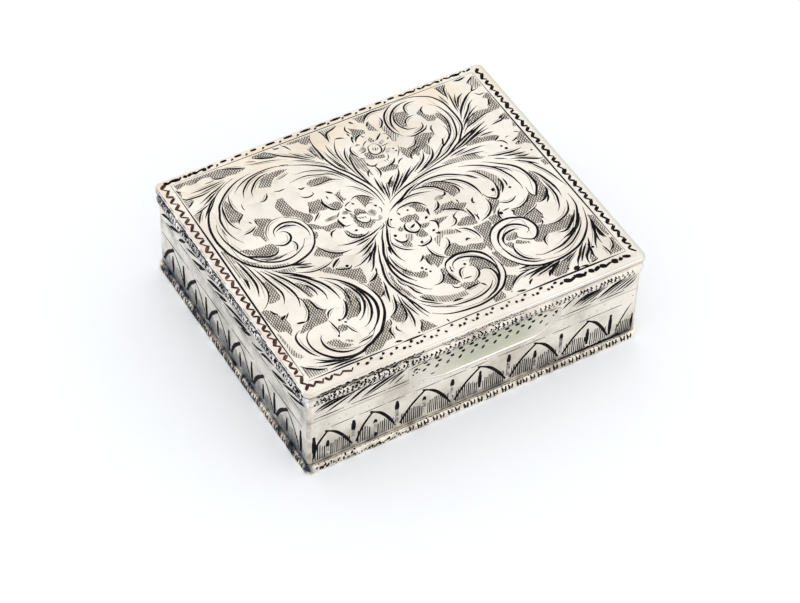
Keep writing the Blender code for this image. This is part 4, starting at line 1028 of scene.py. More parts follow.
# %% Cuts, front band
CUTS_FRONT = """
.5 11.6 -15.2, 11.8 -13.6, 12.2 -12.2, 13 -10.9, 14 -10, 15.2 -9.4, 16.6 -9.1, 18 -9.2, 19.2 -9.7,
19.9 -10, 20.5 -10.6, 21 -11.6, 21.3 -12.8, 21.2 -13.8, 20.8 -14.6, 20.2 -15.3, 19.6 -15.7, 18.8 -15.7,
18 -15.2, 17.2 -14.5, 16.9 -13.6, 17.3 -12.9
.5 12.95 -15.6, 13.1 -13.8, 13.6 -12.6, 14.5 -11.5, 15.6 -10.9, 17 -10.7, 18.2 -11.1, 19.2 -11.9,
19.8 -12.9, 19.6 -13.5, 19 -13.9
.5 14 -15.2, 13.95 -14.2, 14.3 -13.2, 15.2 -12.4, 16.4 -12.1, 17.5 -12.1, 18 -12.5
.6 1.4 -15.4, 1.5 -14.4, 2.2 -13.4, 3.3 -12.85, 4.8 -12.5, 6.2 -12.7, 7.6 -13.1, 8.6 -13.8, 9.3 -14.6,
9.8 -15.8, 10 -17.2, 9.9 -18.6
.5 2.7 -15.5, 2.9 -14.6, 3.4 -14, 4.4 -13.6, 5.4 -13.6, 6.4 -13.9, 7.6 -14.6, 8.7 -15.8, 9.3 -17,
9.6 -18.4, 9.4 -19.8, 8.9 -21, 8.2 -22, 7.4 -22.8; .3 2.1 -15.4, 2.4 -14.4
.5 -21.5 -16.6, -20.6 -16.5, -19.8 -16, -19.2 -15.3, -18.8 -14.6, -18.4 -13.6, -18.3 -12.4
.7 -21.4 -16.6, -21.1 -16.2; .5 -20.7 -17.1, -20.4 -17.6; .3 -20.8 -18, -20.6 -19, -20.3 -19.9, -19.8 -20.6
.34 -23 -15.6, -22.8 -17, -22.7 -18.2, -22.7 -19, -23.1 -19.6; .5 -23.2 -19.7
.44 -28.5 -15.3, -29.4 -15.7, -30 -16.4, -30.2 -17.2, -30.2 -18.2, -29.9 -19.6, -29.5 -20.8, -28.9 -21.8,
-28.4 -22.3
.6 -26.3 -15.8, -27.4 -16.3, -28.2 -17.2, -28.6 -18.2, -28.7 -19.4, -28.5 -20.6, -28 -21.8, -27.2 -22.9,
-26.2 -23.9, -25.2 -24.4, -24 -24.8, -22.6 -25, -21.2 -24.8, -20 -24.2, -18.8 -23.8, -17.4 -23,
-16.2 -22.3, -15.2 -21.2, -14.4 -20.2, -13.6 -19, -13.1 -18, -12.7 -16.8, -12.45 -15.4, -12.6 -13.8,
-12.9 -12.4, -13.2 -11.2, -13.9 -10.2
.5 -25.8 -18.1, -26.3 -18.8, -26.5 -19.8, -26.4 -20.9, -25.9 -21.9, -25.2 -22.7, -24.2 -23.4, -23.2 -23.7,
-22.2 -23.8, -21.2 -23.7; .34 -29.6 -22.4, -28.8 -23.1, -27.6 -23.9, -26.4 -24.4, -25.2 -24.9, -24 -25.2
.4 -29.8 -23.3, -28.8 -23.7, -27.6 -24.2, -26.2 -24.7, -24.6 -25.1
.44 -29.7 -24.3, -28.6 -24.7, -27.2 -25, -25.6 -25.2, -24 -25.3, -22 -25.2
.44 -28.1 -25.8, -26 -25.75, -24 -25.8, -21.6 -25.9
.5 -32.5 -22.7, -31.9 -23.5, -31 -24.2, -30.2 -24.8, -29.3 -25.2, -28.6 -25.3
.34 -21 -22.9, -20 -22.7, -18.8 -22.6, -17.6 -22.2
.5 -16.8 -8.4, -16 -9.8, -15.5 -11.2, -15.15 -12.8, -15.2 -14, -15.5 -15.2, -16.2 -16.4, -17 -17.4,
-17.8 -18, -18.2 -18.1
.5 -16 -8.9, -15.2 -10.6, -14.7 -12.4, -14.45 -14, -14.6 -15.4, -15 -16.8, -15.8 -18.2, -16.7 -19.2,
-17.6 -19.8, -18.1 -19.9; .34 -16.1 -12.6, -16.2 -14.2, -16.4 -15.2, -17 -16.2, -17.8 -16.9, -18.3 -17.2
.44 -13 -20.1, -12 -19.6, -11.2 -18.9, -10.7 -18, -10.3 -16.8, -10 -15.7
.4 -9.3 -16, -9.6 -17.4, -9.8 -18.8, -10 -20.2, -10.5 -21.4, -11.3 -22.1, -12.1 -22.4
.36 -9.1 -16.9, -9.2 -18.2, -9 -19.6, -8.7 -21, -8.4 -22.2
.42 -9.5 -18.6, -9.5 -20.2, -9.6 -21.6, -9.8 -22.8, -10.1 -23.6, -10.4 -24.2
.4 -8.4 -17, -7.9 -18.4, -7.5 -19.6, -7.2 -20.8, -6.8 -22, -6.5 -22.8
.42 -6.9 -14.3, -6.4 -15.6, -6.1 -16.8, -5.6 -17.6, -5.2 -18.1
.34 -6.8 -18.6, -6.2 -19.6, -5.2 -20.4, -4.2 -21.2, -3.3 -21.8; .44 -6 -18.3, -5.6 -19.1, -4.8 -20, -4 -20.8
.26 -7 -19.6, -6 -20.8, -4.8 -21.8, -3.4 -22.6, -2 -23.3, -.6 -23.9; .5 -1.5 -22.2, -.4 -22.2, .5 -22.4
.4 -3 -22.6, -1.4 -23.1, 0 -23.3, 2 -23.4, 3.6 -23.3, 5 -22.9, 6.2 -22.3, 7 -21.5, 7.4 -21
.46 -6.2 -22.8, -4.8 -23.8, -3.2 -24.5, -1.4 -24.9, .4 -25.1, 2.2 -25.2, 4 -25, 5.6 -24.6, 7 -24,
8.2 -23.3, 9.2 -22.3, 10 -21.2, 10.5 -20, 10.7 -18.6, 10.6 -17.2, 10.2 -15.8
.42 -14.9 -25, -14.8 -24, -14.8 -23.2, -14.5 -22.6, -14 -22.1
.36 -13.2 -22.4, -13.5 -23, -13.3 -23.7, -12.9 -24.1; .5 -15.3 -25.7, -14.6 -25.8, -14 -26
.3 -13.4 -20.4, -13.6 -21.4, -14.2 -22; .34 -8.8 -23.4, -9 -24.2, -9.6 -25, -10 -25.6; .4 -10.5 -25.7
.34 -4.6 -25.2, -4.5 -26.1; .4 -2.4 -17.2, -1.4 -17.3, -.6 -17, 0 -16.4, .4 -15.4, .5 -14.4
.3 .4 -18.6, .5 -19.4, 1 -19.7, 1.8 -19.7; .5 1.3 -15.4, 1.3 -16.6, 1.6 -17.8, 2.1 -18.6
.44 2.1 -15.2, 2.2 -16; .4 4.7 -15.9, 3.8 -16, 3.2 -16.6, 2.9 -17.4, 2.8 -18.2
.4 6.4 -16.6, 6.4 -17.9, 6 -18.7, 5.3 -19.3, 4.4 -19.6; .3 3 -18.3, 3.8 -18.4, 4.6 -18.5; .6 5 -15.3
.5 6.5 -17.9, 7.4 -17.8, 8.2 -18.2, 8.7 -19, 8.8 -20, 8.6 -21, 8.2 -21.8, 7.4 -22.7, 6.4 -23.5, 5.2 -24,
4.4 -24.3, 3.4 -24.4; .36 5 -20.6, 5.4 -21, 5.8 -21.7; .46 1.8 -20.8, 3 -20.7, 5 -20.6
.5 11.6 -14.6, 11.7 -15.6, 12 -17, 12.6 -18.4, 13.4 -19.6, 14.4 -20.7, 15.6 -21.5, 17 -22.1, 18.4 -22.3,
20 -22.4, 22 -22.2, 24 -21.7, 25.6 -21.1, 27 -20.2, 28.2 -19.1, 29.2 -18, 30 -16.8, 30.6 -15.4, 31.1 -14,
31.3 -13.2
.42 12.95 -14.2, 13.1 -15.8, 13.5 -17.4, 14.2 -18.8, 15.2 -19.9, 16.4 -20.8, 17.6 -21.2, 18.2 -21.4
.46 15.4 -15.1, 14.9 -15.8, 14.7 -16.8, 14.8 -17.8, 15.2 -18.8, 15.8 -19.6, 16.8 -20.3, 17.7 -20.6
.44 12.9 -21, 14 -21.1, 15.2 -21.3, 16.2 -21.8; .34 12.7 -21.6, 14 -21.9, 15.2 -22.1, 16.6 -22.3
.44 9.5 -24.4, 10.2 -23.6, 11 -23, 12 -22.5, 13.2 -22.2, 14.6 -22.1
.4 12.5 -23.2, 13.6 -22.9, 15 -22.8, 16.6 -22.6, 18.2 -22.4
.5 13.2 -24, 14.2 -23.5, 15.4 -23.2, 16.8 -23, 18.4 -22.7, 20 -22.4; .44 12.6 -25.2, 13.1 -24.6, 13.8 -24.2
.42 14.8 -24.2, 16 -23.8, 17.4 -23.5, 18.8 -23.1, 20.6 -22.7; .5 9.7 -25.6, 10.6 -25.8, 11.4 -25.95
.3 8.9 -25.1; .42 22.2 -16, 21.4 -16.3, 20.8 -16.9, 20.6 -17.6, 20.6 -18.4
.36 20.4 -20.8, 22 -20.7, 23.4 -20.4, 24.8 -19.9, 26.2 -19, 27.6 -17.9, 28.8 -16.6, 29.6 -15.2
.44 24.1 -18.2, 25.2 -18, 26.2 -17.5, 27.2 -16.8
.56 23.9 -16.5, 24.8 -16.8, 25.8 -16.7, 26.8 -16, 27.8 -15.2, 28.8 -14.2, 29.6 -13.1
.4 29.9 -14.2, 29 -15.6, 28 -16.8, 26.8 -17.8
.5 31 -15.4, 30.9 -17, 30.4 -18.6, 29.7 -20, 29 -21.2, 28.4 -22.2, 28 -23.3
.46 31.2 -15.4, 30.7 -17.2, 30.1 -18.8, 29.7 -20.4, 29.5 -21.6, 29.5 -22.6
.5 30.9 -18, 30.7 -19.4, 30.8 -20.8, 31 -21.8; .4 30.4 -19.4, 30.4 -20.6, 30.7 -21.6
.5 28 -20.2, 27.4 -21.6, 26.6 -22.8, 25.6 -23.8, 25 -24.8, 24.8 -26.1
.5 27 -21.6, 26.9 -22.8, 26.6 -24, 26.5 -25; .3 26.7 -25.6, 25.2 -25.9
.5 26.4 -21, 25.2 -22.2, 24.4 -23.2, 23.4 -24.2, 22.9 -25, 22.7 -25.5
.44 27 -21.2, 25.8 -22.4, 24.9 -23.4, 24.3 -24.2, 23.9 -24.8
.3 24.6 -21.9, 23.4 -22.6, 22.2 -23.2, 21.2 -23.8; .6 27.5 -22.7
.34 29.2 -23.2, 29.4 -24.4, 29.5 -25.4, 29.2 -26.1; .34 31.4 -22, 31.3 -23.2, 31 -24, 30.2 -24.7, 29.6 -25.2
1 21.5 -26, 22.2 -25.7, 22.8 -25.9; .4 22.9 -25.8, 23.8 -26, 24.5 -26.1
.5 20.3 -22.7, 18.9 -23.4, 18 -24.2, 17.4 -25.2; .5 17.6 -24.8, 18.4 -24, 19.4 -23.3, 20.4 -22.9
.6 16.8 -25.2, 17.4 -24.4, 18.2 -23.8; .4 20.9 -24.6; .4 20.7 -25.2; .3 23.4 -22.3, 22 -22.8, 20.8 -23.1
"""
print("front band", len(engraver_lines(CUTS_FRONT)), "cuts")

# %% [markdown]
# ## The grounds between the leaves
# Between the leaves the engraver darkens the ground with fine parallel lines, so that the bright
# leaves stand out. Each ground is a sign for the way its lines run and then its outline.
# A slash leans to the right, x is crossed both ways, | and - are plain uprights and levels, and a
# dot is a smooth shade without lines.

# %% Grounds, hinge side half
GROUNDS_BACK = """
x -31.8 27.4, -22.6 27.4, -22.3 27.1, -20 26.1, -18 25.4, -18.2 25, -20.3 24.6, -22.3 24.9, -24.7 25.5,
-24.9 26.2, -26.6 26.6, -28 26, -29 25.9, -29.8 26.5, -31.6 26; x -32 26.2, -31.3 25.4, -31.5 24.4, -32 23.8
- -32 23.7, -31.3 22.9, -30.4 22.6, -30.2 22.2, -31.2 21.5, -32 21
- -32 18.6, -30.9 19.1, -30 19, -31.2 17.8, -32 16.6
x -26 19, -25.2 19.6, -24.8 18, -24.9 16.6, -24.6 15.8, -24 14.8, -24.6 14.4, -25.9 13.3, -26.9 13.9,
-26.7 16.5, -26.3 17.8
x -15.8 26.9, -15.6 27.4, -13.1 27.4, -12.3 26.6, -11.2 25.2, -11.6 25, -13.2 25.4, -14.8 26.2
x -8.9 27.4, -3.4 27.4, -3.9 26.3, -4.3 25.3, -5.3 25.2, -5.9 25.8, -6.3 26.6, -7.2 26.6, -8.2 26.8
| -4.2 24.9, -4.3 23, -4.1 20.6, -4.5 19.9, -5.2 21.6, -5.5 23.4, -5.2 24.4
x -15.2 21.9, -13 21.9, -11.2 21.3, -12.6 20.8, -14.4 20.4, -15.4 19.8, -16.2 18.5, -17.3 18.9, -18.5 19.4,
-17.6 20.6, -16.8 21.4, -16 21.8
x -10.2 16.2, -9.1 16.8, -7.6 16.7, -6.2 16.3, -5.2 15.3, -5.6 15, -8.4 15.1, -9.9 15.2
| -1.7 27.4, 3.4 27.4, 2 27.2, .4 26.8, -.3 26.3, -.9 25.4, -1.3 26.2
x 5.6 27.4, 14.5 27.4, 13 26.9, 12 26.7, 10.6 27, 9.2 27.2, 8 26.4, 7 25.2, 6.3 25.8, 5.9 26.8
x 3.6 25.6, 3.9 24.6, 3.4 23.3, 2.9 22.6, 2.7 21.8, 3.6 22.5, 4.9 22.8, 5.9 22.6, 6.3 23.6, 5.2 24.4, 4.4 25
x 7.9 25.2, 6.9 23.9, 6.8 23.1, 8.5 22, 8.3 23.4
/ 10.3 22.9, 9.3 22.9, 9.2 21.4, 9.7 20.4, 9.6 19.2, 9.4 18.3, 10.1 18, 10.7 18.8, 11.6 19.3, 10.9 20.3,
10.6 21.6
| .4 18.9, .9 19.5, 1.1 18.4, 1.9 17.2, 2.6 16.5, 2.2 15.9, 2.3 15.2, 1.9 14.4, 1.9 12, 1 13.4, .2 15.4,
.1 17.2
x 9.9 16.6, 10.9 15.5, 12.4 15.6, 13.6 17.6, 15.6 17.7, 17.2 17, 17.4 16.3, 16.4 16, 15.2 15.4, 14.6 14.4,
12.4 13.6, 9.8 13, 9.2 14.4, 9.5 15.8
x 13.6 25, 15.2 24.6, 15.6 23.3, 14.6 22.6, 14 21.6, 13.9 20.7, 12.9 20.6, 12.6 22.4, 12.9 24.2
x 17 23, 18.3 23.6, 18.2 22.4, 18.9 21.4, 19.8 21.2, 19.9 20, 19 19.5, 17.9 19.9, 17.5 21.4, 17.2 22.4
x 20.1 21.5, 20.9 21, 21.3 19.2, 20.9 17.2, 19.9 15.3, 20.3 17.2, 20.3 19, 19.9 20
x 23.4 27.4, 25.9 27.4, 25 26.2, 24.3 24, 23.9 26.1; - 27.7 27.4, 30.6 27.3, 29.4 26.9, 28.4 26.9
/ 29.6 25.5, 31 26.6, 31.9 26.9, 31.9 23.6, 30.4 23.4, 30.2 24.6
x 30.2 20.6, 31.4 21.6, 31.9 21.5, 31.9 16.6, 29.2 16.6, 27 16.4, 26 15.8, 24.6 15.3, 23.2 15, 24.6 16.3,
26.6 17.6, 27.6 18, 29.8 17.7, 30.6 18.6, 31 20
| -32 8, -31.7 8.8, -31.3 7.8, -30.9 6, -31 3.6, -30.9 1, -30.8 -.8, -31.5 -.8, -31.7 1.6, -32 -.4
| -29.2 5, -28.4 3.6, -27 2, -25.5 1, -23.6 .4, -22.4 .2, -22.4 -.4, -24 -.2, -25.8 .4, -27.4 1.5,
-28.7 2.7, -29.4 3.9
x -22.7 12.9, -22 12.5, -20.9 12, -19.9 11.2, -21.4 10.5, -22.3 9.6, -23.1 8.2, -23.2 6.6, -23.7 6.6,
-24 8.3, -24.6 8.7, -25.1 9.3, -24.4 10, -23.2 10.7, -22.8 11.8
x -28.9 6.9, -27.6 6.7, -26.9 6.1, -25.2 5.9, -23.5 5.95, -23 5.9, -22.8 5.2, -22.3 4.6, -22.9 3.6,
-24 3.1, -25.4 3.4, -26.9 4.4, -28 5.3, -28.6 6.2
x -18.2 13.4, -17.4 14.6, -16.8 15.2, -15.6 15.2, -15.6 13.2, -15.3 11.6, -14.6 10.6, -13.9 9.6, -13.2 9.1,
-13 8.2, -13.6 7.5, -14.6 7, -14.9 7.4, -15.3 8.6, -16.2 9.8, -17.4 10.4, -17.9 11, -17.8 12.2
x -14.9 7, -14.3 6.8, -13.6 6.2, -12.9 5.3, -12 5, -10.4 5.05, -9.6 5.2, -9.5 4.4, -9.2 3.4, -9.5 2.9,
-10.4 3.2, -10.8 3.6, -11.8 3.6, -12.4 3.3, -12.9 3.8, -13.2 4.6, -14.3 5, -14.9 5.6
x -12.3 12, -11 11.6, -9.9 11.8, -9.9 10.4, -9.9 9, -9.7 8.6, -10.6 8.6, -11.4 8.9, -12.2 8.4, -12.8 8.7,
-13.2 9.2, -12.8 10.4
x -7.2 11.2, -6.2 11.6, -5.3 12, -5.9 11, -5.8 9.8, -5.5 9.2, -6.2 9, -6.6 9.6, -6.8 10.6
x -4 8.8, -3.2 8.8, -2.2 8.2, -1.6 7.4, -1.3 6.6, -2 6.8, -2.6 6.5, -3.2 6.3, -3.7 5.6, -3.8 6.8, -3.9 7.8
/ -9.8 2.4, -9.2 1.9, -8.8 1, -8 .2, -7.4 .2, -7.4 -.4, -8.8 -.2, -9.6 .7
x -5.6 6.3, -4.9 6.2, -4.2 5.4, -4 4.6, -4.4 4.2, -5.2 4.6, -5.9 4.5, -6.3 4, -6.3 3, -5.6 2.2, -4.7 2.1,
-4.2 2.6, -3.4 2.2, -4 1.4, -5 .8, -5.6 .6, -6.2 1.2, -7 2, -7.2 3.2, -7 4.4, -6.3 5.2
x -15 4.9, -14.4 4.6, -14.3 4, -14.9 3.2, -15.4 2.9, -15.4 3.8
x -9.2 9.6, -7.6 9.7, -6.9 9, -6.9 7.9, -8 7.4, -8.9 8
x 3.6 13.4, 5.2 13.4, 6.4 13.2, 7.2 12.6, 7 11.9, 6.4 11.6, 5.6 11.6, 5 11.9, 4 12, 3.7 12.6
x 11.3 14, 12.4 13.9, 12.2 12.8, 11.6 12.6
/ 13 14.8, 14.4 14.8, 14.9 14.2, 14.4 12.8, 13.8 11.9, 13.2 12.4, 13.1 13.6
x 3 9.4, 4 9.6, 4.6 8.8, 3.9 8, 2.9 7.9
x 8.3 5.8, 10.4 5.6, 11.6 5.1, 12.8 4.2, 13.3 3.2, 13.4 2, 13.2 .8, 12 .2, 11.7 .8, 11.6 2, 11 3.2,
10.2 4.3, 9 5, 8.2 5.2
| 14.3 9, 16 9.2, 18.2 9, 20.6 8.7, 21.4 8.2, 21.6 7.4, 22.6 6.6, 21.6 6.4, 20.2 7, 18.4 7.6, 16.4 8.1,
14.8 8.3; x 3.3 2.2, 4.8 2.5, 5.7 1.6, 6 .6, 6.1 -.6, 5 -.4, 3.9 .2, 4.1 1.2
x 20.9 11.2, 22.6 11.6, 24 11.8, 24.5 11.4, 25.6 11.3, 27 10.9, 27.7 10.3, 27 9.8, 26.3 9.3, 25.9 9.7,
24.4 10.1, 22.6 10.4, 21 10.5; x 30 14.6, 31.4 15.2, 31.9 15.2, 31.9 12.9, 31.2 13.3, 30.4 13.8
x 31.9 12.6, 31.9 11, 31.2 10.9, 31.5 11.9
x 30.2 8.2, 31.2 9.2, 31.9 9.6, 31.9 5.6, 31.6 5.6, 31 6.3, 30 6.3, 29.2 6.6, 29 7.1, 30 7.4
x 31 1, 31.9 1, 31.9 -.8, 31 -.6
/ 17.6 5, 19 4.6, 20.2 3.8, 21 2.6, 21.7 1.4, 21.9 -.4, 21.5 -1.4, 20.5 -2.9, 20.2 -2.4, 20.2 .6, 19.9 2.2,
19.2 3.6, 18.2 4.4
"""
print("hinge side half", len(engraver_lines(GROUNDS_BACK)), "grounds")

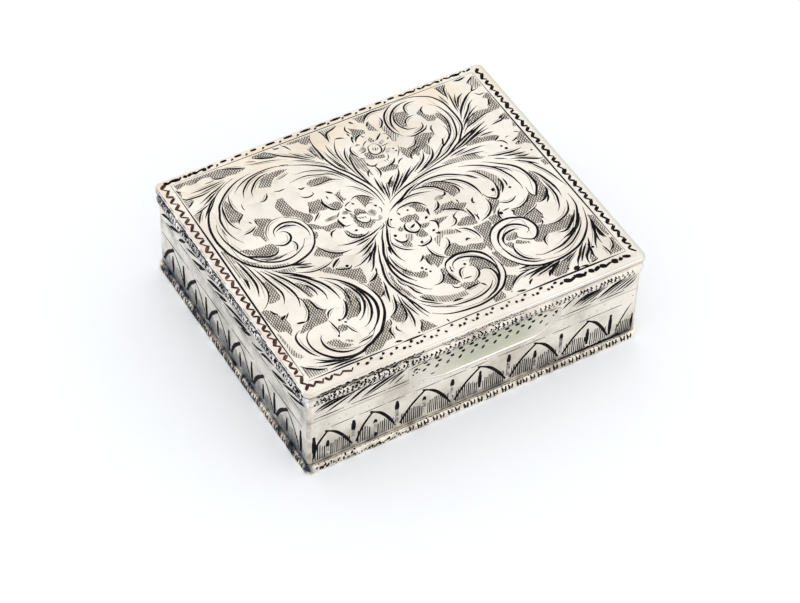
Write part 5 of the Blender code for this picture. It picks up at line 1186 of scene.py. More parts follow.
# %% Grounds, front half
GROUNDS_FRONT = """
x -29.3 -1, -28.8 -1.8, -28.2 -2.2, -27.8 -3.4, -27.6 -5, -27.7 -6.4, -28.1 -7.1, -29.2 -7.4, -30.3 -7.2,
-29.8 -6.2, -29.2 -5, -29 -3.6, -29 -2.2
| -26 -.1, -25 -.6, -23.6 -.9, -22 -1.1, -22 -2.4, -22.8 -2.4, -23.6 -2, -24.6 -1.4, -25.4 -.8
x -24 -4.6, -23.3 -5, -22.7 -5.8, -22.3 -6.8, -22.4 -8.2, -22.4 -9.1, -23 -9.4, -23.5 -8.8, -23.4 -7.4,
-23.8 -6
x -25.1 -8.2, -24.4 -8.8, -23.5 -9.4, -23.4 -10.8, -23.3 -12, -22.7 -12.8, -21.8 -13, -22.4 -13.6,
-22.8 -14.4, -23 -15.4, -23.4 -15.7, -25 -15.8, -26.2 -15.8, -27.4 -16, -28.4 -16.2, -29 -15.9,
-28.2 -15.4, -27.4 -14.4, -26.4 -14.2, -25.4 -13, -24.9 -11.8, -24.8 -10
x -32.5 -8.1, -31.4 -8.1, -31 -8.6, -30.8 -9.3, -30.1 -10, -29.9 -10.6, -29.2 -11.2, -29.4 -12,
-29.3 -13.2, -29.6 -14.6, -30.4 -15.8, -30.9 -14.4, -32 -14, -32.5 -12
x -17.6 0, -16.6 .6, -16.1 .9, -15.9 .3, -15.4 -.8, -14.4 -1.5, -13.3 -2.1, -12.6 -2.3, -13.2 -3,
-14.6 -2.9, -15.4 -3, -15.5 -2.4, -16.3 -1.6, -17.4 -1, -17.8 -.6
x -18.9 -4.1, -17.6 -4.2, -16.6 -4.2, -16.4 -4.9, -15.6 -5.2, -14.5 -5.6, -13.3 -6.6, -12.5 -7, -11.8 -7,
-11.9 -8.4, -12.1 -9.6, -12.4 -10.6, -12.8 -11, -13.4 -10.6, -14.2 -9.4, -15.1 -8.2, -16 -7.2, -17 -6,
-18 -5.2
x -12.9 -11.2, -11.9 -11.2, -11.1 -10.8, -10.3 -10.1, -9.7 -9.5, -9.9 -11, -10.3 -12.4, -10.9 -13.6,
-11.4 -15.2, -12.4 -15.2, -12.6 -13.6, -12.7 -12.4
/ -1 -3.9, -.5 -3.7, .4 -4, .6 -4.6, 0 -5.6, -.6 -5.8, -.8 -5.4, -1 -4.8
x -2.5 -5, -1.8 -5.2, -1 -5, -.7 -5.6, -.8 -6.8, -1 -7.2, -1.8 -6.8, -2.4 -6.2
x -1.2 -1.8, -.3 -1.5, -.2 -2.2, -.5 -2.9, -1.2 -2.8, -1.4 -2.4
x -.9 -10.2, .3 -10, 1.4 -10.2, 1.9 -11.4, 2.6 -12.2, 1.6 -13.2, .3 -13.8, .1 -12.8, -.4 -12.6, -.5 -11.4
x -5.6 -10.6, -4.7 -11.4, -4 -12.6, -3.2 -13, -2.2 -13, -1.9 -14, -2.2 -14.8, -3.4 -14.8, -4.2 -14,
-5.2 -13, -5.8 -12
x -8.7 -15.2, -8.6 -13.6, -8.4 -12, -8.2 -10.6, -7.7 -10.4, -7.8 -11.8, -7.9 -13.4, -7.4 -15.6, -7 -17.4,
-6.6 -18.6, -7.2 -18.4, -7.8 -17, -8.2 -15.6; x .4 .3, 2.6 .3, 2.8 -.4, 2.5 -1.2, 1.6 -1.5, .8 -1.2, .4 -.8
x 2.6 0, 3.7 0, 3.9 -.8, 3.6 -1.6, 2.8 -2.2, 2.4 -1.4
x 1 -4.4, 2 -4.3, 2.8 -3.9, 2.9 -5, 3.1 -5.8, 2.3 -6.1, 1.4 -5.8, 1.1 -5.2
x 2.8 -2.6, 3.8 -2.9, 4.8 -3.1, 4.4 -3.7, 3.6 -4.1, 2.8 -4
x 5.9 -2.7, 7.2 -3.1, 8.8 -3.4, 7.6 -3.9, 6.6 -4.3, 6 -4.5, 5.9 -3.6
/ 3.3 -7.2, 4.2 -6.8, 4.9 -6.3, 5.4 -6, 6.6 -6.2, 7.4 -6.6, 8.2 -7.6, 8.6 -8.3, 7.6 -8, 6.4 -7.6, 5.4 -7.3,
4.4 -8, 3.6 -8.8, 3.3 -9.4, 3.1 -8.4
x 3.2 -10.9, 4.2 -10.5, 5 -10.1, 5.6 -9.6, 6.2 -9.8, 6.6 -10.8, 7.4 -11.4, 8.6 -11.4, 9.6 -11.9,
10.6 -12.2, 11 -13, 10.4 -13.6, 9.4 -13.8, 8.2 -12.9, 6.8 -12.6, 5.4 -12.4, 4 -12.5, 3.2 -12.2, 3 -11.6
x 8.6 -6.2, 9.6 -5.6, 10.4 -5, 11.4 -5, 12.3 -5.4, 12.6 -6.6, 12.4 -7.6, 11.4 -7.6, 10.2 -7.2, 9.2 -6.8
x 11 -8, 12.8 -8, 14.4 -7.8, 14.6 -8.8, 13.8 -10, 12.8 -11.2, 12 -12.6, 11.4 -14.6, 10.8 -14.8, 10.8 -12,
11.4 -11, 11.3 -9.6; x 14.6 -7.3, 16.4 -7, 16.7 -8.2, 16.7 -9.1, 15.6 -9.2, 14.7 -9.4
x 6.7 -1.2, 8 -1.2, 8.9 -.2, 9.8 -.3, 11.2 -.3, 11.4 -1.2, 12 -1, 12.4 -1.6, 13.4 -2, 12.6 -2.8, 12 -3.1,
12.2 -4.4, 11.6 -4.2, 11.2 -3, 10.4 -2.2, 9.2 -1.8, 8 -2.1, 6.8 -2.2
x 16.9 -3, 17.8 -3.2, 18.6 -3.7, 18.9 -4.4, 18.2 -5.4, 17.2 -6, 16.8 -6.8, 16 -7, 16.4 -6, 16.8 -4.6
x 14.6 -13.6, 15.6 -12.9, 17 -12.6, 17.3 -13.2, 16.9 -14.2, 16.2 -14.4, 14.9 -14.2
x 19.6 -7.6, 21.4 -7.7, 22.8 -7.2, 24 -6.2, 24.6 -5.3, 25 -6.3, 25.6 -6.5, 26.6 -5.6, 27.4 -4.4, 27.8 -5.4,
27.8 -6.4, 27 -7.4, 25.8 -8, 24.6 -8.2, 23.6 -8.8, 22.2 -9.3, 20.4 -10, 19.6 -9.6, 19.2 -9, 19.4 -8.2
x 20.4 -10.3, 22 -9.8, 23.6 -9.3, 23.5 -10.4, 24 -11.4, 23.2 -12, 22.9 -13, 22 -13, 21.4 -12.6, 21.2 -11.8,
20.8 -10.8
x 21.2 -13, 22.2 -13.2, 23.4 -13.9, 24.8 -14.3, 26.4 -14.2, 27.2 -13.9, 28.2 -13.4, 28.6 -14.2, 27 -15.6,
26 -16.4, 24 -16.3, 22.3 -16, 21.4 -16.4, 20.8 -17.2, 20.2 -17.3, 19.2 -16.8, 19 -15.7, 20.4 -15.2,
21.1 -14.4; x 26.9 -.4, 27.8 -.7, 28.3 -2, 28.2 -4, 28.1 -5.4, 27.4 -5, 26.9 -4.6, 27.1 -3
/ -32.5 -14.2, -32.1 -14.2, -32 -16, -31.8 -18, -31.5 -19.6, -31 -20.4, -30.8 -21.2, -31.6 -21.2,
-32.2 -20.6, -32.5 -20
| -32.5 -22.9, -32 -23.4, -31 -24.2, -30.2 -24.8, -29.2 -25.2, -28.6 -25.4, -28.8 -26, -32.5 -26
x -25.6 -19.9, -24.3 -19.9, -23.6 -20.4, -23.3 -21.2, -22.6 -22, -21.8 -22.6, -22.6 -22.9, -23.8 -22.6,
-24.8 -22, -25.6 -21, -25.9 -20.2
x -22.6 -17.6, -21.2 -17.5, -20.8 -18.2, -20.9 -19.2, -22.4 -19.2, -22.7 -18.4
x -22.9 -21.1, -22.2 -21.1, -21.4 -21.6, -21.4 -22.2, -22.2 -21.9
x -20 -16.5, -19.2 -15.6, -18.5 -14.4, -18.2 -13, -17.4 -11, -16.6 -9.8, -16 -11, -15.7 -13, -16 -14.8,
-16.9 -16.2, -18 -17.2, -19.2 -17, -20.2 -17.4
x -21.2 -24.9, -20 -24.3, -18.6 -23.8, -17.2 -23, -16.2 -22.3, -15.2 -21.4, -14.4 -20.8, -13.6 -20.4,
-13.9 -21.6, -14.4 -22.2, -14.9 -23, -15 -24, -15.2 -24.7, -16.4 -24.8, -17.2 -25.2, -18.2 -26, -21.2 -26
x -13.2 -20.1, -12.2 -19.6, -11.2 -18.9, -10.7 -18.2, -10.4 -17.2, -10 -17.4, -9.9 -18.6, -10 -19.8,
-10.3 -21, -10.9 -21.8, -12 -22.2, -12.6 -21.8, -13.1 -21
x -8.9 -23.2, -8.4 -23.2, -7.6 -24.4, -7 -25.6, -6.7 -26, -9.9 -26, -10 -25.8, -9.2 -24.6
| -6.1 -18.2, -5 -18.2, -4 -19, -3 -19.8, -1.6 -20.4, 0 -20.8, 2 -20.8, 2 -22.1, .4 -22.1, -1.2 -22.1,
-2.4 -21.9, -3.8 -21, -5 -19.9, -6 -19
x -.7 -17, .2 -16.3, .4 -14.2, 1.3 -14.2, 1.6 -16, 1.9 -17.6, 2.2 -18.8, 1.2 -19, .2 -18.4, -.6 -17.6
x 5.5 -16, 6 -15.2, 6.6 -14.3, 7.4 -14.4, 8.2 -15.2, 9 -16.4, 9.4 -17.8, 9.4 -19, 8.9 -18.9, 8.4 -18.1,
7.4 -17.7, 6.4 -17.9, 6.3 -16.9
x 1.6 -19.2, 2.8 -19.1, 3.8 -19.6, 5 -19.4, 5.2 -20.6, 3.4 -20.8, 2.4 -21.2, 1.8 -20.4
x 4.9 -25, 6.4 -24.6, 7.4 -24.2, 7.6 -24.8, 7.4 -25.8, 7.2 -26, 5 -26
x 7.8 -24.2, 8.6 -23.2, 9.6 -22.2, 10.2 -21.1, 11 -21.6, 11.8 -22, 11.6 -22.7, 10.6 -23.3, 9.8 -24,
9.2 -24.8, 8.4 -24.8
x 10.8 -15, 11.6 -15.2, 11.9 -16, 12.2 -17.4, 12.8 -18.6, 13.6 -19.8, 14.2 -20.2, 13.2 -20.4, 12 -20,
11.2 -19.6, 10.8 -18.8, 10.9 -17, 10.6 -15.6
x 15.6 -15.2, 16.4 -14.6, 16.9 -14.9, 17.6 -15.6, 18.3 -15.9, 18.2 -16.6, 17.4 -16.2, 16.4 -15.9
x 14 -14.4, 15.2 -14.4, 15.4 -15, 14.9 -15.6, 14.6 -16.4, 14.2 -15.4
x 31.1 -15.4, 31.9 -15.8, 31.9 -21.6, 31.4 -21.6, 31.1 -20.2, 31 -18
x 31.4 -22.2, 31.9 -22, 31.9 -26, 29.6 -26, 29.4 -25.4, 30.2 -24.8, 31 -24.2, 31.4 -23.2
x 25.2 -25.8, 25.6 -24.6, 26.2 -23.6, 26.8 -23.6, 26.7 -24.6, 26.9 -25.6
x 17.4 -25.4, 18.2 -24.2, 19.4 -23.4, 21 -22.8, 22.6 -22.6, 23.4 -22.8, 22.6 -23.6, 21.4 -24.6, 20.8 -25.4,
20 -26, 19 -26, 18 -26
"""
print("front half", len(engraver_lines(GROUNDS_FRONT)), "grounds")

# %% [markdown]
# ## The three flowers
# Each flower has a ring round its heart, petals set off by crosshatching near the ring, and a
# peck or two where a petal dips. They are drawn last, over the leaves that they lie on.

# %% Flowers
CUTS_FLOWERS = """
.32 5.5 19.6, 4.7 19.4, 4.3 18.6, 4.25 17.7, 4.7 16.95, 5.5 16.75, 6.3 17.1, 6.65 18, 6.55 18.9, 6.1 19.5,
5.6 19.65; .36 2.6 20.6, 3.1 20.75, 3.6 20.4; .3 4.9 22.7, 5.05 22.1, 5.4 21.95
.36 8.75 19.35, 9.05 19.6, 9.3 19.9; .38 8.4 16.95, 8.7 16.5; .42 8.5 15.95, 9 15.95
.26 6.1 16.6, 6.9 17.2, 7.6 17.95; .24 1.9 17.5, 2.1 17.1, 2.6 16.8
.2 9.7 17.1, 9.5 16.2, 8.9 15.3, 8.2 14.4; .2 8.7 21.1, 9.4 20.7, 9.6 19.7, 9.4 18.6; .18 5.5 14.9, 5.7 14.2
.18 6 14.9, 6.2 14.2; .36 2.8 24.4, 3 23.4; .3 3.2 23.2, 2.8 22.4
.3 2.4 15.7, 2.3 15, 2.8 14.4, 3.5 14.4, 4 14.7; .24 3.9 19.9, 4.5 20.5, 5.3 20.9
.2 6.6 20, 7.4 20.7, 8.3 21.4; .2 6.7 18.4, 7.6 18.3, 8.6 18.5; .22 3.9 18.7, 3.2 18.4, 2.5 18.5
.2 6.9 16, 6.7 15.2, 6.1 14.6; .3 -6.1 5, -6.45 4.2, -6.3 3.2, -5.8 2.5, -5.1 2.15, -4.4 2.4, -4 3.1
.2 -6 4.9, -5.2 5, -4.4 4.7, -4 4.1, -3.9 3.4; .3 -6 4.1, -5.6 3.5; .26 -5.45 4, -5.1 3.3
.24 -4.9 3.8, -4.65 3.3; .42 -8.6 5.5, -8 5.1; .4 -5.3 7.9, -5.1 7.4; .42 -1.9 5.6, -1.7 4.9
.56 -8.1 1.6, -7.9 1.4; .2 -3.6 5.7, -3.2 6.2, -2.4 6.4, -1.7 6; .22 -2.7 2.6, -2.1 2.5
.2 -3.8 2.1, -3 1.7, -2.2 1.9; .24 -9.3 5.9, -8.9 6.4, -8.3 6.9; .24 -9.6 3.5, -8.9 3.1, -8.1 3.1
.2 -7.3 2.4, -6.6 1.6, -6.3 .9; .24 -6.9 5.9, -6.7 5.2; .2 -1.4 4.8, -1.2 3.9, -1.7 3.1
.24 -9.2 .9, -8.2 .2, -7.2 -.2; .2 -9.6 2.4, -9.2 1.2, -8.6 .3
"""
GROUNDS_FLOWERS = """
x 5.35 20.5, 5.9 21.6, 6.3 21.3, 6.7 20.2, 6.3 19.85, 5.6 20; . 2.5 19.2, 3.6 19.9, 4.1 19.9, 4 18.7, 3 18.3
x 3 18.1, 4 18.2, 4.2 17.2, 4.7 16.6, 5.6 16.4, 6.3 16.3, 6.1 15.3, 5.2 15.4, 4.4 15.9, 3.6 15.9, 2.8 16.6,
2.9 17.4; . 6.9 19.5, 7.8 19.8, 8.2 19.4, 7.9 18.9, 7 18.7
. 6.8 16.9, 7.4 17.3, 8.1 17.2, 7.9 16.6, 7.2 16.2, 6.8 16.3
. -3.7 4.7, -2.9 4.8, -2.3 4.2, -2.5 3.3, -3.3 2.9, -3.8 3.4; . -2.8 2.4, -2 2.3, -2 1.9, -2.8 1.8
. -7 5.4, -6.5 5.6, -6.3 4.6, -6.6 4.2, -7.1 4.6; . 2.2 -.2, 2.6 .4, 2.2 .5, 1.9 .1
. -7.6 6.9, -7 6.4, -6.9 5.9, -7.6 5.7, -8.2 6.2
. -11.8 6.4, -10.4 6.6, -9.1 6.6, -9.2 5.9, -10 5.6, -11.6 5.8
. 8.4 1.3, 9 .8, 10 .9, 10.6 1.6, 9.8 2, 8.8 1.9
"""
print("flower cuts", len(engraver_lines(CUTS_FLOWERS)), "grounds", len(engraver_lines(GROUNDS_FLOWERS)))

# %% [markdown]
# ## The border of the lid
# A fine line frames the scrolls. Outside it runs wriggle work: a flat graver is rocked from corner
# to corner as it goes forward, which leaves a zigzag of short fat cuts. Along part of the hinge
# side and of the front the engraver only pecked it, so dashes and dots stand there instead.

# %% Border helpers
def wriggle(drawing, start, end, pitch, swing, width, kind=CUT, lean=0.0):
    """A zigzag of fat cuts from start to end, swinging to both sides of the line."""
    start, end = Vector(start), Vector(end)
    along = (end - start).normalized()
    side = Vector((-along.y, along.x)) * swing / 2
    legs = max(1, round((end - start).length / pitch * 2))
    step = (end - start) / legs
    for i in range(legs):
        sway = 0.09 * pitch * (math.sin(2.4 * i) + math.sin(5.1 * i))
        a = start + step * i + side * (-1) ** i + along * (lean + sway)
        b = start + step * (i + 1) - side * (-1) ** i + along * (lean - sway)
        fat = width * (0.88 + 0.2 * (-1) ** i + 0.14 * math.sin(1.7 * i) + 0.12 * math.sin(4.3 * i))
        add_cut(drawing, [a, b], fat, tip=BLUNT_TIP, kind=kind)


def peck_row(drawing, text, level, width):
    """Short dashes at one level, each given as where it starts and ends."""
    for start, end in (map(float, pair.split()) for pair in text.split(",")):
        if end - start < 0.2:
            add_cut(drawing, [(start, level)], width)
            add_cut(drawing, [(start - 0.35, level - 0.3), (start + 0.1, level)], width * 0.5, tip=BLUNT_TIP)
        else:
            bow = 0.12 * math.sin(3.3 * start)
            points = [(start, level - 0.12), ((start + end) / 2, level + bow), (end, level + 0.1)]
            add_cut(drawing, points, width, tip=BLUNT_TIP)


print("border helpers ready")

# %% Lid border
FRAME_RIGHT, FRAME_FRONT, FRAME_BACK = 32.15, -26.35, 27.7
FRAME_CUTS = (
    (0.4, (-32.2, FRAME_BACK), (-32.55, 5), (-32.95, -14), (-33, FRAME_FRONT + 1.4)),
    (0.34, (FRAME_RIGHT, FRAME_BACK), (FRAME_RIGHT, 0), (FRAME_RIGHT, FRAME_FRONT)),
    (0.2, (-32, FRAME_BACK), (0, FRAME_BACK + 0.05), (32, FRAME_BACK)),
    (0.32, (-33, FRAME_FRONT), (-14.5, FRAME_FRONT - 0.1)),
    (0.4, (-14.4, FRAME_FRONT), (-9.8, FRAME_FRONT - 0.1)),
    (0.24, (-9.7, FRAME_FRONT), (9.5, FRAME_FRONT - 0.1)),
    (0.42, (9.2, FRAME_FRONT), (32, FRAME_FRONT - 0.1)),
)
WRIGGLES = (
    ((-33.95, -28.0), (-33.6, 28.5), 2.0, 1.2, 0.62, BROWN),
    ((33.3, 28.2), (33.4, -27.2), 1.85, 0.9, 0.66),
    ((-33.2, 28.7), (-23.4, 28.8), 2.0, 0.75, 0.8),
    ((16.5, 28.7), (32.4, 28.8), 2.0, 0.7, 0.55),
    ((-33.4, -27.4), (-28.6, -27.5), 1.5, 0.9, 0.6, BROWN),
    ((-28.4, -27.4), (-24.4, -27.6), 1.9, 0.7, 0.5, BROWN),
    ((18.4, -27.6), (32.2, -27.6), 2.5, 0.6, 0.98),
)
PECK_ROWS = (
    ("""-24 -22.9, -21.4 -20.1, -18.4 -17, -15.1 -13.9, -11.9 -10, -8.1 -6.3, -4.6 -2.4, -1.3 .9,
        1.8 4, 4.7 6.4, 8 9.5, 11.5 12.8, 14.2 15.6""", 29.0, 0.6),
    ("""-22.2 -22.2, -19.1 -19.1, -16.1 -16.1, -12.6 -12.6, -9 -9, -5.3 -5.3, -1.6 -1.6, 1.2 1.2,
        4.3 4.3, 7.2 7.2, 10.2 10.2, 13.4 13.4""", 28.4, 0.5),
    ("""-23.4 -23.3, -20.8 -20.7, -18.4 -18.3, -15.7 -15.5, -13 -12.4, -10.3 -9.9, -7.5 -7,
        -4.8 -4.3, -1.8 -1.4, .8 .9, 3.8 3.9, 7 7.2, 10.3 10.8, 13.5 14.2, 16.4 17.1""", -26.95, 0.6),
    ("""-22.3 -21.6, -19.6 -19, -17.2 -17.1, -14.8 -14.2, -13.7 -13.4, -12.2 -11.7, -11.1 -10.9,
        -9.3 -8.8, -8.3 -8.1, -6.4 -6, -3.3 -3.2, -2.4 -2.3, -.8 -.6, .2 .25, 1.9 2.4, 2.9 3.2,
        5 5.5, 6.2 6.6, 8.2 8.6, 9.2 9.8, 11.7 12, 12.4 13, 14.7 15.1, 15.6 16, 17.4 18.1""", -27.7, 0.64),
)
print("border of", len(FRAME_CUTS), "lines,", len(WRIGGLES), "wriggles,", len(PECK_ROWS), "pecked rows")


# %% Lid plate
def draw_lid(drawing):
    for text in (GROUNDS_BACK, GROUNDS_FRONT, GROUNDS_FLOWERS):
        add_grounds(drawing, text)
    for text in (CUTS_BACK, CUTS_UPPER, CUTS_LOWER, CUTS_FRONT):
        add_cuts(drawing, text, shaded=True)
    add_cuts(drawing, CUTS_FLOWERS)
    for width, *points in FRAME_CUTS:
        add_cut(drawing, points, width)
    for row in WRIGGLES:
        wriggle(drawing, *row)
    for row in PECK_ROWS:
        peck_row(drawing, *row)


# Spans of dense dark dents on each side, with their size: partly punch marks, partly painted shade under the
# plate and on its edge.
DARK_DENTS_AND_SHADE = {"front": ((-34, -12, 1.0), (-8, 9, 0.65)), "left": ((-29, 29, 1.3),), "right": ((-12, 20, 0.8),),
           "back": ((-30, -4, 0.8), (6, 31, 1.0))}
ARRIS_LEVEL, EDGE_SHADE_STRIP = 21.42, (20.65, 21.1, 0.34)
plate_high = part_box("lid_plate")[1]
plate = solid_copy("lid_plate")
dice = random.Random(7)


def draw_plate_edge(drawing, side):
    # Dark dents on the plate's lower edge: marks and painted shade.
    for start, end, size in DARK_DENTS_AND_SHADE[side]:
        strike(drawing, dice, (start, end, *EDGE_SHADE_STRIP), 8, 0.75 * size)
    # A bright line along the top edge of the plate is a painted highlight.
    arris = [(drawing["low"].x, ARRIS_LEVEL), (drawing["high"].x, ARRIS_LEVEL)]
    add_cut(drawing, arris, 0.1, tip=ROUND_TIP, slope=0, kind=PAINTED_HIGHLIGHT)


# The plate's left edge takes the rim's painted-shade copy.
engrave_sides(plate, draw_plate_edge, SHADED_LEFT_RIM, BRIGHT)
top_patch = flat_patch(plate, Z, plate_high.z)
print("lid skin", engrave(plate, top_patch, X, Y, draw_lid), "triangles")
hang_piece("engraved_lid_plate", plate, "lid", "engraved_silver", "lid_plate")

# %% [markdown]
# ## Leaf sprays round the lid and arches round the base
# The lid's walls carry long slanting slashes, the tips of leaves that the rim hides. Round the
# base runs an arcade: each arch springs from a point near the foot, and a fat tapered stroke
# stands in each valley and under each arch, like rushes behind a fence of fine upright lines.
# The strokes below are read from the front and left walls. The photograph doesn't show the
# right and back walls, so they take the same work.

# %% Wall drawings
SPRAY_FRONT = """
.4 -33 15.9, -31 16.85, -28.7 17.5; .36 -32.6 15.6, -28.3 16.6, -24.2 17.45
.34 -30.8 14.6, -28.3 15.7, -25.1 16.9; .4 -32 16.3, -29.5 17.1, -26.5 17.5
.24 -31.8 16, -28.8 16.8, -26 17.3; .5 -26.5 14.8, -23.7 16.5, -21 17.5; .26 -27.4 16.8, -22.4 17.5
.46 -23.7 14.7, -20.1 16.3, -16.5 17.5; .3 -22.8 14.6, -18.7 16.1, -15.1 17.5
.36 -22.3 15.6, -19.5 16.7, -17 17.5; .26 -22.4 16.7, -18.3 17.45; .32 -18.3 15.2, -16.5 16.5, -14.6 17.45
.26 -17.1 14.7, -15.1 16; .32 17.6 15.9, 18.8 16.9, 20 17.5; .44 19.8 15.5, 22.2 16.9, 25.5 17.5
.2 20.6 15.7, 23.6 16.7, 27 17.45; .2 20.3 15.3, 23.4 16.4, 27.4 17.3; .3 20.6 14.8, 23.1 15.9, 27.2 17
.24 21.7 14.6, 24 15.6, 26 16.5; .3 21.4 16.2, 24 17, 26.4 17.5; .24 23.5 14.6, 25.1 15.3
.5 25.1 14.8, 28.1 16.4, 31.2 17.5; .26 25.8 14.6, 28.9 16.1, 32.4 17.5; .26 27.2 14.5, 30 15.9, 33 17.4
.34 28.8 14.5, 31 15.6, 33.4 17; .24 26.6 15.9, 28.5 16.9, 30 17.4; .3 30.4 14.5, 32.2 15.4, 33.5 16.4
"""
SPRAY_LEFT = """
.5 -27.8 15.2, -25.5 16.4, -22.5 17; .5 -24.4 15.1, -22.3 16.1, -19.8 17.1
.5 -20.7 14.6, -19.6 15.5, -17.8 16.7; .4 -17.5 15.4, -15 16.3, -13.2 16.7
.5 -15.5 14.5, -13.2 15.2, -11 16.2, -9.6 16.6; .5 -12.5 14.7, -11.4 15.7, -10 16.7
.62 -9.4 14.7, -6.4 15.8, -2.8 16.8; .36 -6.4 14.5, -4.1 15.3, -2.1 16.2
.42 -4.6 14.5, -3.2 15.3, -1.4 16.3; .5 -3.2 14.7, 1.3 15.8, 5.9 16.7; .6 .9 14.5, 4 15.3, 6.3 16
.55 3.8 14.4, 5.9 15.1, 7.7 16.1; .36 7.9 14.5, 10 15, 12.2 16.2; .5 11.3 14.7, 13.1 15.8, 16.3 16.5
.6 15.4 14.5, 18.1 15.2, 20.9 16.2; .5 19.5 14.9, 21.8 15.9, 24 16.8, 27 17.5
.4 21.3 14.5, 23.6 15.2, 27.5 16.8; .26 -26 14.6, -23 15; .26 -9 16.2, -6 17.2; .3 6.4 16.8, 10 17.4
.3 17 16.7, 20 17.4; .9 25.6 16.7, 27.6 17.4; .34 -14 17, -11 17.5; .3 -20.5 16.9, -18 17.5
"""
FENCE_PITCH, POST_WIDTH, FENCE_LEVEL = 0.43, 0.22, 2.75


def fence(drawing, start, end, low, tall, seed, post=POST_WIDTH):
    """Fine upright lines, whose tops rise and fall like grass."""
    posts = max(2, round((end - start) / FENCE_PITCH))
    for i in range(posts + 1):
        x = start + (end - start) * i / posts
        crown = 0.8 + 0.2 * math.sin(math.pi * i / posts) + 0.05 * math.sin(2.9 * i + seed)
        fat = post * (1 + 0.2 * math.sin(4.1 * i + seed))
        kind = CUT if post == POST_WIDTH else FINE
        add_hatch_line(drawing, Vector((x, low)), Vector((x + 0.05, low + tall * crown)), fat, kind)


def arcade(drawing, apexes, valleys, bold_left, bold_right, post):
    """Arches between the valleys, each with a fence of fine upright lines under it."""
    for i, (apex, start, end) in enumerate(zip(apexes, valleys, valleys[1:])):
        lean = 0.25 * math.sin(2.1 * i)
        fence(drawing, start + 0.9, apex - 0.5, FENCE_LEVEL, 3.8 + lean, i, post)
        fence(drawing, apex + 0.8, end - 0.9, FENCE_LEVEL, 3.8 - lean, i + 2, post)
        rise, fall = apex - start, end - apex
        left_leg = [(start + 0.5, 3.4), (start + 0.5 * rise, 6.9), (apex + 0.2, 9.7)]
        add_cut(drawing, left_leg, bold_left, tip=ROUND_TIP)
        right_leg = [(apex - 0.35, 9.85), (apex + 0.33 * fall, 8.5), (apex + 0.66 * fall, 6.2),
                     (end - 0.25, 3.3)]
        add_cut(drawing, right_leg, bold_right, tip=0.5)


def rushes(drawing, text):
    """Fat uprights, each given as a width, x and foot, lean and head, and the top of its worn part."""
    for width, (foot_end, head, worn) in engraver_lines(text):
        x, low = foot_end
        lean, high = head
        width = float(width)
        neck = max(worn[0] - 0.4, low)
        if neck > low:
            rubbed_foot = [(x, low), (x + 0.5 * lean, neck + 0.3)]
            add_cut(drawing, rubbed_foot, 0.85 * width, tip=ROUND_TIP, kind=WORN)
        add_cut(drawing, [(x + 0.4 * lean, neck), (x + lean, high)], width, tip=BLUNT_TIP)


def dashed_line(drawing, start, end, level, dashes, width=0.18):
    step = (end - start) / dashes
    for i in range(dashes):
        a, b = start + step * i, start + step * (i + 0.8 + 0.19 * math.sin(2.3 * i))
        add_cut(drawing, [(a, level), (b, level + 0.04 * math.sin(i))], width, tip=0.5)


print("wall drawings ready")

# %% Lid wall
def finish_faces(wall):
    """Outer faces take the wall's finish, its painted-shade copy where they look left, or a darker painted
    shade where they turn a corner. Everything that looks inward is plain.
    """
    for face in wall.faces:
        middle = face.calc_center_median()
        outward = face.normal.x * middle.x + face.normal.y * middle.y > 1e-4
        turning = min(abs(face.normal.x), abs(face.normal.y)) > 0.1
        # Rounded corners get a darker painted shade, and left-looking faces the painted-shade copy.
        tone = SHADED_CORNER if turning else SHADED_LEFT_WALL if face.normal.x < -0.6 else WALL
        face.material_index = tone if outward else INSIDE


LID_WALL_SPRAYS = {"front": SPRAY_FRONT, "left": SPRAY_LEFT, "right": SPRAY_LEFT, "back": SPRAY_FRONT}
LINE_LEVEL = 14.05


def draw_lid_wall(drawing, side):
    add_cuts(drawing, LID_WALL_SPRAYS[side], 1.3 if side == "front" else 1.6)
    if side != "back":
        dashed_line(drawing, drawing["low"].x + 0.6, drawing["high"].x - 0.6, LINE_LEVEL, 9, 0.26)


lid_wall = solid_copy("lid_wall")
finish_faces(lid_wall)
wall_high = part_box("lid_wall")[1]
engrave_sides(lid_wall, draw_lid_wall, SHADED_LEFT_WALL, WALL, wall_high)
hang_piece("engraved_lid_wall", lid_wall, "lid", "engraved_silver", "lid_wall")

# %% Base wall
FRONT_APEXES = (-30.6, -21.5, -10.8, 0.6, 12.4, 23.6)
FRONT_VALLEYS = (-34.3, -25.2, -16.3, -5.0, 6.6, 17.8, 28.5)
SIDE_APEXES = (-23.4, -14.4, -5.8, 3.1, 12.1, 21.0)
SIDE_VALLEYS = (-28.1, -18.7, -10.0, -1.0, 7.6, 16.3, 26.1)
FRONT_RUSHES = """
.9 -33.1 4, -.1 9.2, 0 0; .95 -25.3 5, .1 9.4, 6.9 0; .95 -16.4 3.6, 0 9.6, 7.4 0; .9 -5.1 4, .1 9.2, 7.6 0
.9 6.7 3.9, .1 9.5, 7.6 0; .85 17.9 4, 0 9.2, 8 0; .8 28.5 3.4, .1 8.7, 0 0; .8 -30.5 3, .1 6.9, 5.4 0
.8 -20.8 3.6, 0 7.2, 6.4 0; .7 -20.7 2.6, 0 3.6, 0 0; .8 -10.8 3.2, 0 7.8, 6.9 0; .8 .7 3.9, .1 8.3, 0 0
.8 12.4 3, 0 7.6, 5.8 0; .8 23.6 3.3, .1 7.5, 0 0; .5 33.3 3.2, .1 6.8, 0 0
"""
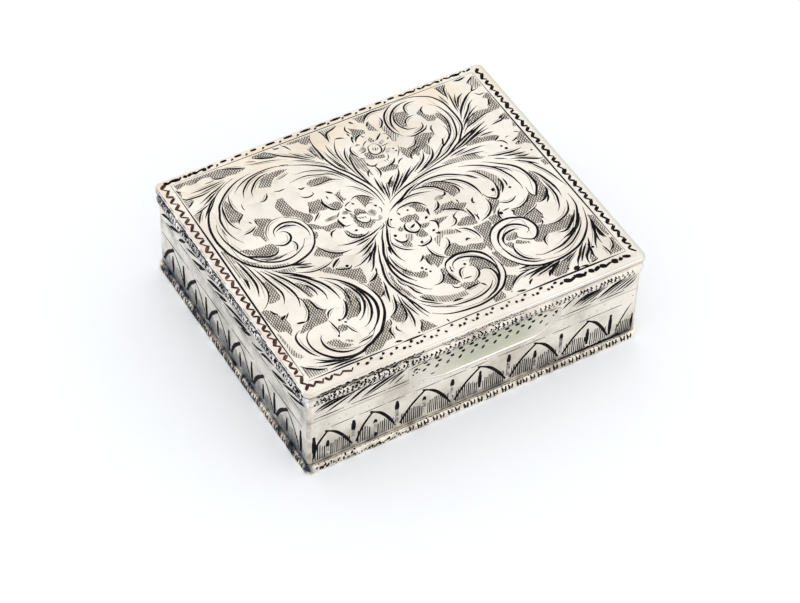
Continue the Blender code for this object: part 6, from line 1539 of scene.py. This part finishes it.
SIDE_RUSHES = """
.95 -18.9 3.4, -.3 9, 0 0; .95 -9.9 3.2, -.2 9.1, 0 0; .95 -.9 3.4, -.2 8.8, 0 0; .9 7.8 3.3, -.1 8.9, 0 0
.95 16.5 3.4, -.2 9.1, 0 0; 1 26.3 3.2, -.2 8.8, 0 0; .95 -23.5 3.2, -.1 7.6, 0 0
.9 -14.2 3.2, -.1 7.2, 0 0; .8 -5.5 3.1, -.1 7.1, 0 0; .8 3.4 3.2, -.2 7, 0 0; .8 12.2 3.2, -.1 7.2, 0 0
.8 21 3.5, 0 7.1, 0 0
"""
HALF_ARCH = [(29.7, 3.6), (31.3, 7), (32.6, 9.2), (33.2, 9.8)]
FOOT_SEAM = [(18, 2.4), (33.3, 2.5)]
SEAM_DENTS, UPPER_SPECKS = (13, 33.2, 2.45, 2.9, 0.5), (-33, 33, 10.7, 12.4, 2.2)


def draw_base_wall(drawing, side):
    if side in ("left", "right"):
        arcade(drawing, SIDE_APEXES, SIDE_VALLEYS, 0.8, 0.5, 0.17)
        rushes(drawing, SIDE_RUSHES)
        dashed_line(drawing, -27.9, 27.9, 10.5, 4, 0.3)
    else:
        arcade(drawing, FRONT_APEXES, FRONT_VALLEYS, 0.56, 0.66, POST_WIDTH)
        rushes(drawing, FRONT_RUSHES)
        add_cut(drawing, HALF_ARCH, 0.34)
        fence(drawing, 30.1, 33.4, FENCE_LEVEL, 3.2, 1)
        dashed_line(drawing, -29.8, 33.0, 10.35, 11)
        strike(drawing, dice, SEAM_DENTS, 0, 0.5)
        add_cut(drawing, FOOT_SEAM, 0.5, tip=0.3)
        strike(drawing, dice, UPPER_SPECKS, 15, 0.3, FINE)


base_wall = solid_copy("base_wall")
finish_faces(base_wall)
wall_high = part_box("base_wall")[1]
engrave_sides(base_wall, draw_base_wall, SHADED_LEFT_WALL, WALL, wall_high)
hang_piece("engraved_base_wall", base_wall, "base", "engraved_silver", "base_wall")

# %% [markdown]
# ## Punched rim and foot
# The mouldings under the lid's plate and round the foot aren't drawn with a graver but struck
# with small punches, blow beside blow. The rim has two rows of crescents like fish scales, and
# the foot has pairs of slanting nicks. Dirt has filled them, so they read darker than the walls.
# Dense dark dents in the cove under the plate, on the plate's edge and along the left side are
# partly marks and partly painted shade.

# %% Rim moulding
SCALE_PITCH = 0.92
SCALE_LEVELS = (18.25, 18.95)
SCALE_STRIP, COVE_SHADE_STRIP = (17.95, 19.1, 0.6), (19.5, 20.2, 0.34)


def draw_rim(drawing, side):
    start, end = drawing["low"].x + 0.4, drawing["high"].x - 0.6
    for row, level in enumerate(SCALE_LEVELS):
        u = start + 0.5 * row * SCALE_PITCH
        while u < end:
            size = dice.uniform(0.22, 0.4)
            bulge = u + dice.uniform(0.05, 0.25)
            points = [(u - 0.22, level - size), (bulge, level), (u - 0.1, level + size)]
            faint = side == "front" and (9 < u < 18 or u > 30)
            add_cut(drawing, points, dice.uniform(0.28, 0.56), tip=BLUNT_TIP, kind=FINE if faint else CUT)
            u += SCALE_PITCH * dice.uniform(0.7, 1.3)
    # Dense dark dents in the scale band and the cove: marks, and painted shade under the plate.
    for dark_start, dark_end, size in DARK_DENTS_AND_SHADE[side]:
        strike(drawing, dice, (dark_start, dark_end, *SCALE_STRIP), 100, 0.55 * size)
        strike(drawing, dice, (dark_start, dark_end, *COVE_SHADE_STRIP), 10, 0.85 * size)


rim = solid_copy("lid_rim_moulding")
# Faces that look left take the rim's painted-shade copy.
for face in rim.faces:
    face.material_index = SHADED_LEFT_RIM if face.normal.x < -0.5 else RIM
engrave_sides(rim, draw_rim, SHADED_LEFT_RIM, RIM)
hang_piece("punched_rim", rim, "lid", "engraved_silver", "lid_rim_moulding")

# %% Foot moulding
NICK_PITCH = 1.6
SEAM_LEVEL, SEAM_STRIP = 2.08, (1.95, 2.05, 0.9)
STEEP_STRIP, SLANTING_STRIP, SPARSE_STRIP = (0.4, 1.6, 0.42), (0.3, 1.5, 0.7), (0.4, 1.6, 1.3)


def draw_foot(drawing, side):
    start, end = drawing["low"].x + 0.6, drawing["high"].x - 0.9
    turn = -14 if side == "front" else start
    if turn > start:
        strike(drawing, dice, (start, turn, *STEEP_STRIP), 60, 0.75)
        strike(drawing, dice, (start, turn, *SLANTING_STRIP), 20, 0.5)
    for i in range(int((end - turn) / NICK_PITCH) + 1):
        u = turn + NICK_PITCH * (i + dice.uniform(-0.12, 0.12))
        fat = dice.uniform(0.3, 0.44)
        add_cut(drawing, [(u, 1.85), (u + 0.25, dice.uniform(0.4, 0.8))], fat, tip=BLUNT_TIP)
        add_cut(drawing, [(u + 0.8, 1.82), (u + 0.72, dice.uniform(0.4, 0.9))], fat, tip=BLUNT_TIP)
        add_cut(drawing, [(u + 0.15, 1.5), (u + 0.62, 1.0)], 0.24)
    strike(drawing, dice, (turn, end, *SPARSE_STRIP), 70, 0.34)
    strike(drawing, dice, (start, end, *SEAM_STRIP), 0, 0.34)
    add_cut(drawing, [(start, SEAM_LEVEL), (end, SEAM_LEVEL)], 0.16, tip=BLUNT_TIP)


foot = solid_copy("foot_moulding")
for face in foot.faces:
    face.material_index = FOOT
engrave_sides(foot, draw_foot, FOOT, FOOT)
hang_piece("punched_foot", foot, "base", "engraved_silver", "foot_moulding")

# %% [markdown]
# ## The thumbpiece
# The lid is lifted by a lip that flares out of its front wall. Rows of struck dots run across
# it, large near the rim and smaller below. The lip itself is left bare, and a bright line along its
# lower edge is a painted highlight.

# %% Thumbpiece
THUMB_SHEET = 0.02 * MM
DOT_ROWS = ((17.2, 2.38, -11.4, 16.6, 0.9, 0.62), (16.35, 2.42, -13.2, 15.9, 0.75, 0.52))
END_DOTS = ((-13.4, 15.9), (-12.9, 15.4), (-13.6, 15.1), (-12.4, 16.0), (15.4, 15.6), (16.0, 15.9))
SMALL_DOTS, SMALL_DOT_PITCH = 11, 2.4


def draw_thumb(drawing):
    # A bright line along the lip's lower edge is a painted highlight.
    add_cut(drawing, [(-12.8, 13.72), (16.5, 13.72)], 0.28, slope=0, kind=PAINTED_HIGHLIGHT)
    for level, pitch, start, end, length, fat in DOT_ROWS:
        for i in range(int((end - start) / pitch) + 1):
            u = start + pitch * (i + 0.05 * math.sin(2.9 * i))
            add_cut(drawing, [(u, level), (u + length, level + 0.03)], fat, tip=BLUNT_TIP)
    for i in range(SMALL_DOTS):
        u = -11.6 + SMALL_DOT_PITCH * i + 0.1 * math.sin(2.1 * i)
        add_cut(drawing, [(u, 15.3), (u + 0.75, 15.7)], 0.46, tip=0.4, kind=CUT if i % 3 == 0 else FINE)
    for x, level in END_DOTS:
        add_cut(drawing, [(x, level), (x + 0.4, level + 0.1)], 0.36, tip=BLUNT_TIP)
    for x, level in ((-10.2, 14.3), (13.6, 14.4)):
        add_cut(drawing, [(x, level), (x + 0.8, level + 0.12)], 0.2, tip=0.4)


thumb = solid_copy("thumbpiece")
thumb_low, thumb_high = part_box("thumbpiece")
wall_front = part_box("lid_wall")[0].y
for corner in thumb.verts:
    if min(corner.co.x - thumb_low.x, thumb_high.x - corner.co.x) < 0.05 * MM:
        corner.co.y = max(corner.co.y, wall_front - THUMB_SHEET)
for face in thumb.faces:
    face.material_index = THUMB
thumb_patch = [f for f in thumb.faces if f.normal.dot(-Y) > 0.3]
engrave(thumb, thumb_patch, X, Z, draw_thumb, bare=THUMB)
hang_piece("struck_thumbpiece", thumb, "lid", "engraved_silver", "thumbpiece")

# %% [markdown]
# ## Silver that stays plain
# The inside, the joint and the strips that locate the lid are never engraved. They keep their
# CAD shape and take the plainer silver finishes.

# %% Plain silver on the solids
PLAIN_FINISHES = {"engraved_silver": FACE_FINISHES[BRIGHT], "inner_silver": FACE_FINISHES[INSIDE],
                  "joint_silver": joint_silver, "pin_wire": pin_wire}
SLOT_OF = {row["node"]: row["material_slot"] for row in frame["record"]["subparts"]}
for name, solid in frame["nodes"].items():
    for place in solid.material_slots:
        place.material = PLAIN_FINISHES[SLOT_OF[name]]
print("plain silver on", len(frame["nodes"]), "solids")
